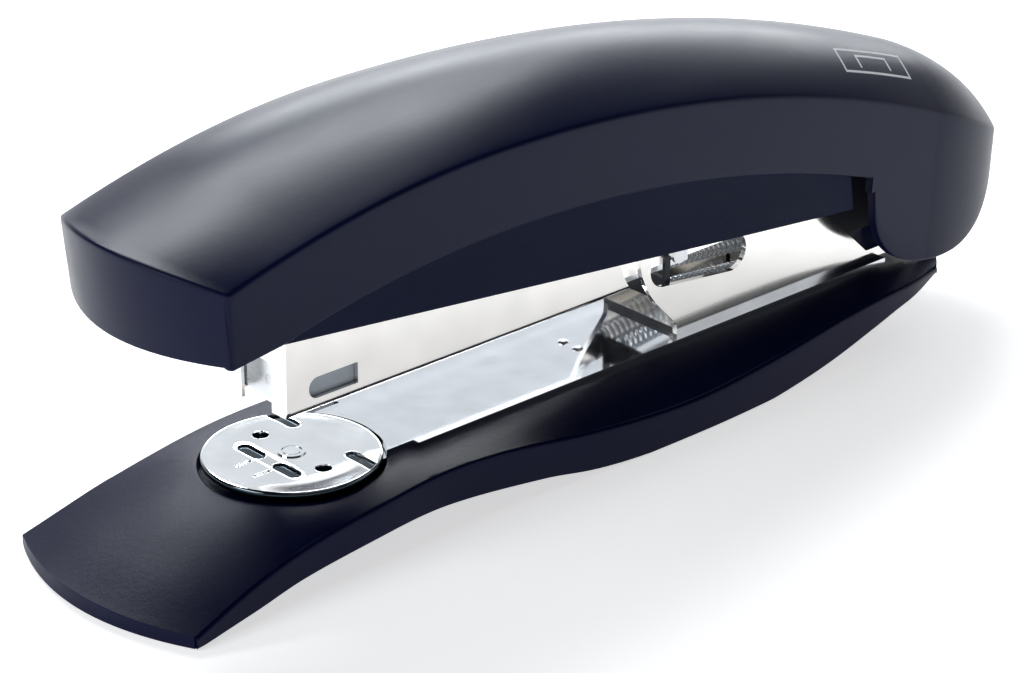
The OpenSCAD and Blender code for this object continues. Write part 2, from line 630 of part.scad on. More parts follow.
function cover_inner(x) =
    let (shut = x < nose_x + 2.1 || x > cover_end - 4.1, s = side_z(x) - 0.6 * cover_t, r = rim_z(x),
        w = max(0.3, cover_half(x) - cover_side(x)), h = crown_rise(x),
        low = max(0.25, w - wall_draft * (s - r)),
        mid = (w + low) / 2)
    concat(
        [at_nose(x, -low, r), at_nose(x, shut ? -low * 0.97 : -mid, shut ? r + sill / 2 : (s + r) / 2)],
        [for (t = cover_rows) shut ? at_nose(x, t * low * 0.94, r + sill * (1.4 - 0.4 * t * t))
            : at_nose(x, t * w, s + (h - 0.4 * cover_t) * (1 - t * t))],
        [at_nose(x, shut ? low * 0.97 : mid, shut ? r + sill / 2 : (s + r) / 2), at_nose(x, low, r)]);
cover_stations = concat(
    [nose_x, nose_x + 2, nose_x + 2.2],
    [for (i = [1 : 22]) mix(nose_x + 2.2, leg_x - 0.3, i / 22)],
    [for (t = [0, 0.012, 0.04, 0.09, 0.16, 0.25, 0.36, 0.48, 0.6, 0.7, 0.79, 0.86, 0.905])
        mix(leg_x, cover_end, t)],
    [for (d = [4.2, 4, 3, 2, 1.2, 0.6, 0.25, 0]) cover_end - d]);

module top_cover() color("#1d2440") in_frame()
    moulding([for (x = cover_stations) cover_outer(x)], [for (x = cover_stations) cover_inner(x)]);

// Inner shell: recessed skirt under the arch, with a flat top that the frame hangs from.
shell_front = nose_x + 8;
shell_end = hinge_x - 27;
recess = cover_t + 0.2;
shell_top = frame_z + frame_t + 2.4;          // its top at x = 0
function skirt_low(x) = min(skirt_z - skirt_slope * x, rim_z(min(x, leg_x - 0.5)) - 0.6);
function skirt_half(x, z) = cover_half(x) - recess - wall_draft * (side_z(x) - z);
function shell_path(x, inset) =
    let (low = skirt_low(x), top = min(shell_top - skirt_slope * x, side_z(x) - 2) - inset,
        a = skirt_half(x, low) - inset,
        b = skirt_half(x, top) - inset - 0.3,
        lean = (x > shell_end - 1) ? 3.4 : 0)
    [[x, -a, low], [x - lean / 2, -(a + b) / 2, (low + top) / 2], [x - lean, -b, top], [x - lean, 0, top],
        [x - lean, b, top], [x - lean / 2, (a + b) / 2, (low + top) / 2], [x, a, low]];
shell_stations = [for (i = [0 : 18]) mix(shell_front, shell_end, i / 18)];

module inner_shell() color("#262c40") in_frame() difference() {
    moulding([for (x = shell_stations) shell_path(x, 0)], [for (x = shell_stations) shell_path(x, shell_t)]);
    // Opening for the blade's head.
    translate([shell_front - 5, -8, 40]) cube([28, 16, 40]);
    frame_tilt() for (x = frame_screw_x) translate([x, 0, 0]) cylinder(d = 3, h = 30);
}

module frame_tilt() translate([0, 0, frame_z]) rotate([0, skirt_angle, 0]) children();

frame_end = hinge_x - 26;
frame_screw_x = [40, hinge_x - 50];
head_z = blade_head + head_len;
module blade_tilt() translate([flange_t + 0.3, 0, blade_z]) rotate([0, blade_lean, 0]) children();

module frame_side() difference() {
    union() {
        polygon([
            [blade_back, frame_z + frame_t - skirt_slope * blade_back],
            [frame_end, frame_z + frame_t - skirt_slope * frame_end],
            [hinge_x + 2, hinge_z + 4.2], [hinge_x, hinge_z - 4.6],
            [frame_end - 6, frame_z - skirt_slope * frame_end - 6],
            [blade_back, frame_z - skirt_slope * blade_back - 4.5]]);
        translate([hinge_x, hinge_z]) circle(4.6);
    }
    translate([hinge_x, hinge_z]) circle(d = hinge_d + 2 * run);
}

blade_back = 6;
module handle_frame() color("#b3b5ba") in_frame() difference() {
    union() {
        both_sides() sheet_xz(-frame_w / 2, -frame_w / 2 + frame_t) frame_side();
        difference() {
            frame_tilt() translate([0, -frame_w / 2 + 0.01, 0]) cube([frame_end, frame_w - 0.02, frame_t]);
            translate([-20, -20, 0]) cube([20 + blade_back, 40, 100]);
        }
        // Turned-up lip behind the blade's head, with the bridge back to the frame.
        blade_tilt() translate([blade_t + 0.02, -5, blade_head + 1.4]) cube([1, 10, head_len - 1.4]);
        blade_tilt() translate([blade_t + 0.02, -5, blade_head + 1.4]) cube([4.4, 10, 1.2]);
    }
    blade_tilt() for (s = [-1, 1]) translate([0, s * rivet_y, head_z - 1.5]) rotate([0, 90, 0])
        cylinder(d = 1.6, h = 6, center = true);
    frame_tilt() for (x = frame_screw_x) translate([x, 0, -5]) cylinder(d = 2.6, h = 20);
}

module frame_screws() color("#8e9096") in_frame() frame_tilt() for (x = frame_screw_x) translate([x, 0, 0]) {
    cylinder(d = 2.6, h = frame_t + 2.6);
    translate([0, 0, 2.4 + frame_t + 0.05]) cylinder(d = 5.4, h = 1.5);
}

module driver_blade() color("#cfd1d6") in_frame() blade_tilt() difference() {
    union() {
        translate([0, -crown_w / 2 + 0.3, 0]) cube([blade_t, crown_w - 0.6, 6]);
        translate([0, -2.2, 0]) cube([blade_t, 4.4, blade_head + 1]);
        translate([0, -5, blade_head]) cube([blade_t, 10, head_len]);
    }
    for (s = [-1, 1]) translate([0, s * rivet_y, head_z - 1.5]) rotate([0, 90, 0])
        cylinder(d = 1.6, h = 6, center = true);
}

module blade_rivets() color("#9a9ca2") in_frame() blade_tilt()
    for (s = [-1, 1]) translate([0, s * rivet_y, head_z - 1.5]) rotate([0, 90, 0]) {
        cylinder(d = 1.6, h = blade_t + 1.1);
        translate([0, 0, -0.5]) cylinder(d = 2.8, h = 0.48);
    }

// Leaf spring under the frame, which presses on the magazine.
press_len = 46;
press_x = hinge_x - 52;
press_steps = 14;
press_drop = frame_z - skirt_slope * (press_x - press_len) - channel_top - 0.7;
function leaf(i) =
    let (t = i / press_steps, x = press_x - t * press_len)
    [x, frame_z - skirt_slope * x - 0.1 - press_drop * t * t * (1.5 - 0.5 * t)];
module press_spring() color("#7d8088") in_frame() sheet_xz(-4, 4) polygon(concat(
    [for (i = [0 : press_steps]) leaf(i)],
    [for (i = [press_steps : -1 : 0]) leaf(i) - [0, 0.5]]));

base_shell();
front_foot();
rear_foot();
base_plate();
plate_rivets();
base_screws();
hinge_bracket();
bracket_rivets();
hinge_pin();
pin_clips();
anvil_disc();
anvil_rivet();
anvil_washer();
magazine_channel();
staple_rail();
guide_rod();
rear_stop();
magazine_arm();
hinge_block();
stop_pin();
spring_yoke();
return_springs();
pusher();
pusher_spring();
top_cover();
inner_shell();
handle_frame();
frame_screws();
driver_blade();
blade_rivets();
press_spring();
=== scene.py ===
"""Looks of the desk stapler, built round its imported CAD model.

Sizes are in millimetres in the stapler's working frame: x = 0 at the magazine's front face, y = 0 on the
plane of symmetry, z = 0 on the table. ``to_row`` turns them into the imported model's metres.
"""

import json
import logging
import math
from dataclasses import dataclass
from enum import Enum

import bpy
import numpy as np
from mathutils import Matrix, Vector

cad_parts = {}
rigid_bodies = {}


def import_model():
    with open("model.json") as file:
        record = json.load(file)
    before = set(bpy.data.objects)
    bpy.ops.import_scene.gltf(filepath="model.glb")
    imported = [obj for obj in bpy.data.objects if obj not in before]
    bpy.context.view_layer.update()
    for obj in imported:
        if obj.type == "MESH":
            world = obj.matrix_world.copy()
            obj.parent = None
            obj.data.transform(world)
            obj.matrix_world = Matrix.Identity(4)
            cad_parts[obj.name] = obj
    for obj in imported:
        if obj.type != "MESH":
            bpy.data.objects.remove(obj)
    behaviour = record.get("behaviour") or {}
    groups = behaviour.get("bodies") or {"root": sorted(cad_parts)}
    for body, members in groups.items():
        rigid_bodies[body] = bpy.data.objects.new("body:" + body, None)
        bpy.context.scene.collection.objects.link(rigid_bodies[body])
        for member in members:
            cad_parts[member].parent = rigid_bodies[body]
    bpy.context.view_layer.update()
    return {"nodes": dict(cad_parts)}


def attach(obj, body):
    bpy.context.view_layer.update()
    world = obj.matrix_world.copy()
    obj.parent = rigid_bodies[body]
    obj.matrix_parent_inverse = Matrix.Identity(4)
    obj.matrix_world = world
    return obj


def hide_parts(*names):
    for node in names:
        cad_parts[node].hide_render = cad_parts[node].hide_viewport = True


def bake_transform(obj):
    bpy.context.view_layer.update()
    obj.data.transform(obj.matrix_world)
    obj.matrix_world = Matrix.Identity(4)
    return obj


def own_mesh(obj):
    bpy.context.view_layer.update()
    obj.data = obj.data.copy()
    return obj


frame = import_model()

logging.basicConfig(level=logging.INFO, format="%(message)s")
LOG = logging.getLogger("stapler")

MIDDLE_X = 66.1


class Body(Enum):
    """The rigid bodies that pieces ride on."""

    BASE = "base"
    ANVIL = "anvil"
    MAGAZINE = "magazine"
    PUSHER = "pusher"
    HANDLE = "handle"


# ---- Small maths --------------------------------------------------------------------------------


def to_row(points: np.ndarray) -> np.ndarray:
    """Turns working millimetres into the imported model's metres.

    Args:
        points: Array of points whose last axis is x, y, z.

    Returns:
        The points in the row frame.
    """
    return (np.asarray(points, float) - np.array([MIDDLE_X, 0.0, 0.0])) / 1000.0


def smooth(t: np.ndarray) -> np.ndarray:
    """Smooth step: 0 below 0, 1 above 1, and 3t squared less 2t cubed between.

    Args:
        t: Shares of the way.

    Returns:
        The eased shares.
    """
    u = np.clip(t, 0.0, 1.0)
    return u * u * (3.0 - 2.0 * u)


@dataclass(frozen=True)
class Curve:
    """A smooth curve through a few (position, value) points, by cubic Hermite pieces."""

    points: tuple

    def __call__(self, x: np.ndarray) -> np.ndarray:
        """Values of the curve.

        Args:
            x: Positions.

        Returns:
            Hermite cubic of each span, whose slopes are those between a point's two neighbours.
        """
        p = np.array(self.points, float)
        slopes = np.gradient(p[:, 1])
        slopes[1:-1] = (p[2:, 1] - p[:-2, 1]) / (p[2:, 0] - p[:-2, 0])
        slopes[0] = (p[1, 1] - p[0, 1]) / (p[1, 0] - p[0, 0])
        slopes[-1] = (p[-1, 1] - p[-2, 1]) / (p[-1, 0] - p[-2, 0])
        x = np.asarray(x, float)
        i = np.clip(np.searchsorted(p[:, 0], x, side="right") - 1, 0, len(p) - 2)
        w = p[i + 1, 0] - p[i, 0]
        t = np.clip((x - p[i, 0]) / w, 0.0, 1.0)
        return (
            p[i, 1] * (2 * t**3 - 3 * t**2 + 1)
            + slopes[i] * w * (t**3 - 2 * t**2 + t)
            + p[i + 1, 1] * (3 * t**2 - 2 * t**3)
            + slopes[i + 1] * w * (t**3 - t**2)
        )


def rounded(corner: np.ndarray, before: np.ndarray, after: np.ndarray, size: float, steps: int) -> np.ndarray:
    """A rounded corner: the quadratic curve from a point short of the corner to one past it.

    Args:
        corner: Corner points, shape (n, 2).
        before: Points that the path comes from, shape (n, 2).
        after: Points that the path goes to, shape (n, 2).
        size: How far from the corner the rounding starts.
        steps: How many points it has.

    Returns:
        Array of shape (n, steps, 2).
    """
    a = before - corner
    b = after - corner
    la = np.linalg.norm(a, axis=1, keepdims=True)
    lb = np.linalg.norm(b, axis=1, keepdims=True)
    reach = np.minimum(size, 0.45 * np.minimum(la, lb))
    p0 = corner + a / np.maximum(la, 1e-9) * reach
    p2 = corner + b / np.maximum(lb, 1e-9) * reach
    t = np.linspace(0.0, 1.0, steps)[None, :, None]
    return (1 - t) ** 2 * p0[:, None] + 2 * t * (1 - t) * corner[:, None] + t**2 * p2[:, None]


# ---- Meshes -------------------------------------------------------------------------------------


def grid_faces(
    rows: int, cols: int, start: int = 0, close_cols: bool = False, flip: bool = False
) -> np.ndarray:
    """Quads of a grid of points stored row by row.

    Args:
        rows: Number of rows.
        cols: Number of points in a row.
        start: Index of the grid's first point.
        close_cols: True where each row is a closed ring.
        flip: True to turn the faces over.

    Returns:
        Array of point indices, four to a face.
    """
    r = np.arange(rows - 1)[:, None]
    c = np.arange(cols if close_cols else cols - 1)[None, :]
    d = (c + 1) % cols
    a = np.stack([r * cols + c, r * cols + d, (r + 1) * cols + d, (r + 1) * cols + c], axis=-1)
    a = a.reshape(-1, 4) + start
    return a[:, ::-1] if flip else a


def make_mesh(name: str, points: np.ndarray, faces: np.ndarray, sharp: float = 30.0) -> bpy.types.Object:
    """Makes an object from working points and quads, shaded smooth up to an angle.

    Args:
        name: The object's name.
        points: Points in working millimetres.
        faces: Quads; one whose last index repeats its third is a triangle.
        sharp: Edges that turn by more degrees than this are drawn sharp.

    Returns:
        The new object, linked to the scene.
    """
    points = to_row(points.reshape(-1, 3))
    keys = np.round(points * 1e7).astype(np.int64)
    _, first, back = np.unique(keys, axis=0, return_index=True, return_inverse=True)
    faces = back.reshape(-1)[faces]
    points = points[first]
    clean = [f[np.sort(np.unique(f, return_index=True)[1])] for f in faces[_uneven(faces)]]
    even = faces[~_uneven(faces)]
    mesh = bpy.data.meshes.new(name)
    polys = even.tolist() + [f.tolist() for f in clean if len(f) > 2]
    mesh.from_pydata(points.tolist(), [], polys)
    mesh.validate()
    mesh.update()
    mesh.polygons.foreach_set("use_smooth", np.ones(len(mesh.polygons), bool))
    mesh.set_sharp_from_angle(angle=math.radians(sharp))
    obj = bpy.data.objects.new(name, mesh)
    bpy.context.scene.collection.objects.link(obj)
    return obj


def _uneven(faces: np.ndarray) -> np.ndarray:
    """True for each quad that uses a point twice.

    Args:
        faces: Quads.

    Returns:
        One flag a face.
    """
    s = np.sort(faces, axis=1)
    return (s[:, 1:] == s[:, :-1]).any(axis=1)


def double_skin(outer: np.ndarray, inner: np.ndarray) -> tuple:
    """A closed moulding from an outside and an inside grid with as many points.

    Args:
        outer: Outside points, shape (stations, ring, 3).
        inner: Inside points, the same shape.

    Returns:
        All points, and quads over both skins, both rims and both ends.
    """
    n, m = outer.shape[:2]
    half = n * m
    r, c = np.arange(n - 1), np.arange(m - 1)
    near = np.stack([r * m, (r + 1) * m, half + (r + 1) * m, half + r * m], axis=1)
    far = near[:, [0, 3, 2, 1]] + m - 1
    first = np.stack([c, half + c, half + c + 1, c + 1], axis=1)
    last = first[:, [0, 3, 2, 1]] + (n - 1) * m
    faces = np.concatenate([grid_faces(n, m), grid_faces(n, m, half, flip=True), near, far, first, last])
    return np.concatenate([outer.reshape(-1, 3), inner.reshape(-1, 3)]), faces[:, ::-1]


def sweep(path: np.ndarray, radius: float, sides: int = 12) -> tuple:
    """A round wire along a path, with domed ends.

    Args:
        path: Points of the path, shape (n, 3).
        radius: The wire's radius.
        sides: Points round the wire.

    Returns:
        Points and quads. Each ring stands across the path's direction, its sides set from the y axis, or from
        the z axis where the path runs close to y.
    """
    tangent = np.gradient(path, axis=0)
    tangent /= np.linalg.norm(tangent, axis=1, keepdims=True)
    side = np.cross(tangent, [0.0, 1.0, 0.0])
    short = np.linalg.norm(side, axis=1, keepdims=True)
    side = np.where(short > 0.2, side / np.maximum(short, 1e-9), np.cross(tangent, [0.0, 0.0, 1.0]))
    side /= np.linalg.norm(side, axis=1, keepdims=True)
    third = np.cross(tangent, side)
    a = np.linspace(0, 2 * math.pi, sides, endpoint=False)
    ring = np.cos(a)[None, :, None] * side[:, None] + np.sin(a)[None, :, None] * third[:, None]
    body = path[:, None] + radius * ring
    ends = [(path[0] - tangent[0] * radius * 0.5), (path[-1] + tangent[-1] * radius * 0.5)]
    first = np.repeat(ends[0][None], sides, 0)[None]
    last = np.repeat(ends[1][None], sides, 0)[None]
    grid = np.concatenate([first, body, last])
    return grid.reshape(-1, 3), grid_faces(len(grid), sides, close_cols=True)


def lathe(profile: np.ndarray, centre: tuple, around: int = 96) -> tuple:
    """A profile of (radius, height) turned about an upright axis.

    Args:
        profile: Points of the profile, shape (n, 2).
        centre: Where the axis stands and the height that profile heights count from.
        around: Steps of a turn.

    Returns:
        Points and quads.
    """
    a = np.linspace(0, 2 * math.pi, around, endpoint=False)
    x = centre[0] + profile[:, None, 0] * np.cos(a)
    y = centre[1] + profile[:, None, 0] * np.sin(a)
    z = centre[2] + np.repeat(profile[:, None, 1], around, 1)
    return np.stack([x, y, z], -1).reshape(-1, 3), grid_faces(len(profile), around, close_cols=True)


# ---- Finishes -----------------------------------------------------------------------------------


class NodeTree:
    """Short hand for building a material's nodes."""

    def __init__(self, name: str) -> None:
        """Starts a material with one Principled shader.

        Args:
            name: The material's name.
        """
        self.material = bpy.data.materials.new(name)
        self.material.use_nodes = True
        self.nodes = self.material.node_tree.nodes
        self.links = self.material.node_tree.links
        self.shader = self.nodes["Principled BSDF"]
        self.coords = self.nodes.new("ShaderNodeTexCoord").outputs["Object"]

    def stretched(self, scale: tuple) -> bpy.types.NodeSocket:
        """Object coordinates times a scale.

        Args:
            scale: Factor on each axis.

        Returns:
            The scaled coordinates.
        """
        node = self.nodes.new("ShaderNodeMapping")
        node.inputs["Scale"].default_value = scale
        self.links.new(self.coords, node.inputs["Vector"])
        return node.outputs["Vector"]

    def noise(
        self, scale: float, detail: float = 3.0, stretch: tuple = (1.0, 1.0, 1.0)
    ) -> bpy.types.NodeSocket:
        """Fractal noise.

        Args:
            scale: Bumps to a metre.
            detail: Octaves.
            stretch: Factor on each axis.

        Returns:
            The noise's value, about 0.5 in the middle.
        """
        node = self.nodes.new("ShaderNodeTexNoise")
        node.inputs["Scale"].default_value = scale
        node.inputs["Detail"].default_value = detail
        self.links.new(self.stretched(stretch), node.inputs["Vector"])
        return node.outputs["Fac"]

    def spread(
        self, value: bpy.types.NodeSocket, low: float, high: float, a: float = 0.3, b: float = 0.7
    ) -> bpy.types.NodeSocket:
        """Maps a value from one range to another and clips it.

        Args:
            value: What to map.
            low: Result at the start.
            high: Result at the end.
            a: Start of the range.
            b: End of the range.

        Returns:
            The mapped value.
        """
        node = self.nodes.new("ShaderNodeMapRange")
        self.links.new(value, node.inputs["Value"])
        for key, v in (("From Min", a), ("From Max", b), ("To Min", low), ("To Max", high)):
            node.inputs[key].default_value = v
        return node.outputs["Result"]

    def blend(self, share: bpy.types.NodeSocket, a: tuple, b: tuple) -> bpy.types.NodeSocket:
        """Mixes two colours.

        Args:
            share: 0 for the first colour, 1 for the second.
            a: First colour.
            b: Second colour.

        Returns:
            The mixed colour.
        """
        node = self.nodes.new("ShaderNodeMix")
        node.data_type = "RGBA"
        self.links.new(share, node.inputs["Factor"])
        node.inputs["A"].default_value = (*a, 1.0)
        node.inputs["B"].default_value = (*b, 1.0)
        return node.outputs["Result"]

    def bump(self, layers: list) -> None:
        """Adds bump layers to the shader.

        Args:
            layers: Pairs of a height value and its depth in metres.
        """
        normal = None
        for height, depth in layers:
            node = self.nodes.new("ShaderNodeBump")
            node.inputs["Distance"].default_value = depth
            self.links.new(height, node.inputs["Height"])
            if normal is not None:
                self.links.new(normal, node.inputs["Normal"])
            normal = node.outputs["Normal"]
        self.links.new(normal, self.shader.inputs["Normal"])


@dataclass(frozen=True)
class MouldedPlastic:
    """Satin moulded plastic with spark-eroded grain and faint handling marks."""

    name: str
    colour: tuple
    tint: tuple
    roughness: float = 0.34
    grain: float = 0.000012
    specular: float = 0.16

    def make(self) -> bpy.types.Material:
        """Builds the material.

        Returns:
            The material: cloudy colour, grain bump and streaks of changing gloss.
        """
        t = NodeTree(self.name)
        tone = t.blend(t.spread(t.noise(70.0), 0, 1), self.colour, self.tint)
        t.links.new(tone, t.shader.inputs["Base Color"])
        worn = t.spread(t.noise(120.0, 5.0, (0.25, 1.0, 1.0)), self.roughness - 0.035, self.roughness + 0.035)
        t.links.new(worn, t.shader.inputs["Roughness"])
        t.shader.inputs["Specular IOR Level"].default_value = self.specular
        t.bump([(t.noise(5200.0, 2.0), self.grain), (t.noise(900.0, 2.0), self.grain * 0.8)])
        return t.material


@dataclass(frozen=True)
class PlatedSteel:
    """Bright, zinc-plated or blackened steel, with rolling lines along one axis and a slight waviness."""

    name: str
    colour: tuple
    roughness: float = 0.1
    lines: float = 0.0000015
    waves: float = 0.00003
    along: tuple = (0.03, 1.0, 1.0)
    # Emission strength of painted light that makes the metal look lit; 0 for none.
    glow: float = 0.0
    # Height below which the pressings get near-black painted shade; 0 for none.
    painted_shade_below: float = 0.0

    def make(self) -> bpy.types.Material:
        """Builds the material.

        Returns:
            The material: metal with rolling lines, waviness and dull patches, near-black painted shade where
                it is pressed
            in under a height, and with a slight emission glow of painted light where it stands in for light
            between inner walls.
        """
        t = NodeTree(self.name)
        dark = tuple(c * 0.9 for c in self.colour)
        tone = t.blend(t.spread(t.noise(160.0, 4.0), 0, 1), self.colour, dark)
        # Painted shade: below the height, the pressed-in grooves and holes are mixed toward near black.
        if self.painted_shade_below > 0:
            split = t.nodes.new("ShaderNodeSeparateXYZ")
            t.links.new(t.coords, split.inputs[0])
            pressing_shade = t.spread(split.outputs["Z"], 1.0, 0.0, self.painted_shade_below - 0.00022, self.painted_shade_below)
            mix = t.nodes.new("ShaderNodeMix")
            mix.data_type = "RGBA"
            t.links.new(pressing_shade, mix.inputs["Factor"])
            t.links.new(tone, mix.inputs["A"])
            mix.inputs["B"].default_value = (0.035, 0.05, 0.062, 1.0)
            tone = mix.outputs["Result"]
        t.links.new(tone, t.shader.inputs["Base Color"])
        # Painted light: emission makes the metal glow though no lamp shines on it.
        if self.glow > 0:
            t.shader.inputs["Emission Color"].default_value = (*self.colour, 1.0)
            t.shader.inputs["Emission Strength"].default_value = self.glow
        t.shader.inputs["Metallic"].default_value = 1.0
        dull = t.spread(t.noise(240.0, 5.0, self.along), self.roughness * 0.7, self.roughness * 1.35)
        t.links.new(dull, t.shader.inputs["Roughness"])
        t.bump([(t.noise(3500.0, 3.0, self.along), self.lines), (t.noise(60.0, 1.0), self.waves)])
        return t.material


@dataclass(frozen=True)
class SoftRubber:
    """Matt rubber with a dusty bloom."""

    name: str = "foot rubber"

    def make(self) -> bpy.types.Material:
        """Builds the material.

        Returns:
            The material: dark, rough, with bloom in patches.
        """
        t = NodeTree(self.name)
        bloom = t.spread(t.noise(300.0, 5.0), 0, 1)
        tone = t.blend(bloom, (0.012, 0.012, 0.013), (0.03, 0.03, 0.032))
        t.links.new(tone, t.shader.inputs["Base Color"])
        t.links.new(t.spread(t.noise(500.0), 0.7, 0.9), t.shader.inputs["Roughness"])
        t.bump([(t.noise(4000.0, 3.0), 0.00003)])
        return t.material


class Finishes:
    """All finishes of the stapler, made once."""

    def __init__(self) -> None:
        """Makes every material."""
        even = (1.0, 1.0, 1.0)
        self.cover = MouldedPlastic(
            "navy cover", (0.0013, 0.0034, 0.0240), (0.0018, 0.0042, 0.0270), 0.33, 0.000014, 0.13
        ).make()
        self.shell = MouldedPlastic(
            "navy skirt", (0.0022, 0.0055, 0.0235), (0.0032, 0.0066, 0.0265), 0.48, 0.00003, 0.06
        ).make()
        self.base = MouldedPlastic(
            "navy base", (0.0009, 0.0022, 0.0225), (0.0014, 0.0030, 0.0260), 0.40, 0.00003, 0.09
        ).make()
        self.plate = PlatedSteel("polished plate", (0.80, 0.82, 0.86), 0.07, 0.0000008, 0.00002).make()
        # The anvil's pressings get painted shade below a height.
        self.anvil = PlatedSteel(
            "polished anvil", (0.88, 0.90, 0.92), 0.06, 0.0000004, 0.00001, even, painted_shade_below=0.01248
        ).make()
        self.channel = PlatedSteel("bright channel", (0.93, 0.91, 0.885), 0.16).make()
        self.bracket = PlatedSteel("bright bracket", (0.93, 0.915, 0.89), 0.13).make()
        # The staple rail's zinc glows a little: painted light between the magazine walls.
        self.zinc = PlatedSteel("zinc sheet", (0.60, 0.63, 0.66), 0.28, 0.000003, glow=0.32).make()
        self.turned = PlatedSteel(
            "turned steel", (0.66, 0.67, 0.70), 0.2, 0.000002, 0.00001, (1.0, 0.05, 1.0)
        ).make()
        self.blade = PlatedSteel(
            "ground blade", (0.78, 0.79, 0.81), 0.18, 0.000002, 0.00001, (1.0, 1.0, 0.03)
        ).make()
        # The spring wire glows faintly: painted light.
        self.wire = PlatedSteel(
            "spring wire", (0.58, 0.62, 0.66), 0.22, 0.000001, 0.000005, even, glow=0.07
        ).make()
        self.black = PlatedSteel("black oxide", (0.035, 0.036, 0.042), 0.38, 0.000003, 0.00001, even).make()
        self.pusher = MouldedPlastic(
            "pusher grey", (0.34, 0.38, 0.42), (0.39, 0.43, 0.47), 0.5, 0.00002
        ).make()
        self.block = MouldedPlastic(
            "dark block", (0.004, 0.005, 0.012), (0.006, 0.007, 0.015), 0.45, 0.00002
        ).make()
        # The magazine arms glow: painted light that keeps them bright.
        self.satin = PlatedSteel("satin arms", (0.93, 0.92, 0.90), 0.34, 0.000002, 0.00001, glow=0.5).make()
        self.rubber = SoftRubber().make()
        self.print = MouldedPlastic(
            "pale print", (0.60, 0.62, 0.64), (0.70, 0.72, 0.74), 0.5, 0.000004
        ).make()


def dress(obj: bpy.types.Object, material: bpy.types.Material) -> None:
    """Gives every material slot of a piece one material.

    Args:
        obj: The piece.
        material: The finish.
    """
    if not obj.material_slots:
        obj.data.materials.append(material)
    for s in obj.material_slots:
        s.material = material


def finish_piece(
    obj: bpy.types.Object, body: Body, material: bpy.types.Material, stands_for: tuple = ()
) -> bpy.types.Object:
    """Dresses a new piece and ties it to its body.

    Args:
        obj: The piece.
        body: The body it rides on.
        material: The finish.
        stands_for: CAD nodes that it replaces.

    Returns:
        The piece.
    """
    dress(obj, material)
    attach(obj, body.value)
    if stands_for:
        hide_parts(*stands_for)
    LOG.info("%s: %d faces, rides on %s", obj.name, len(obj.data.polygons), body.value)
    return obj


# ---- Handle -------------------------------------------------------------------------------------


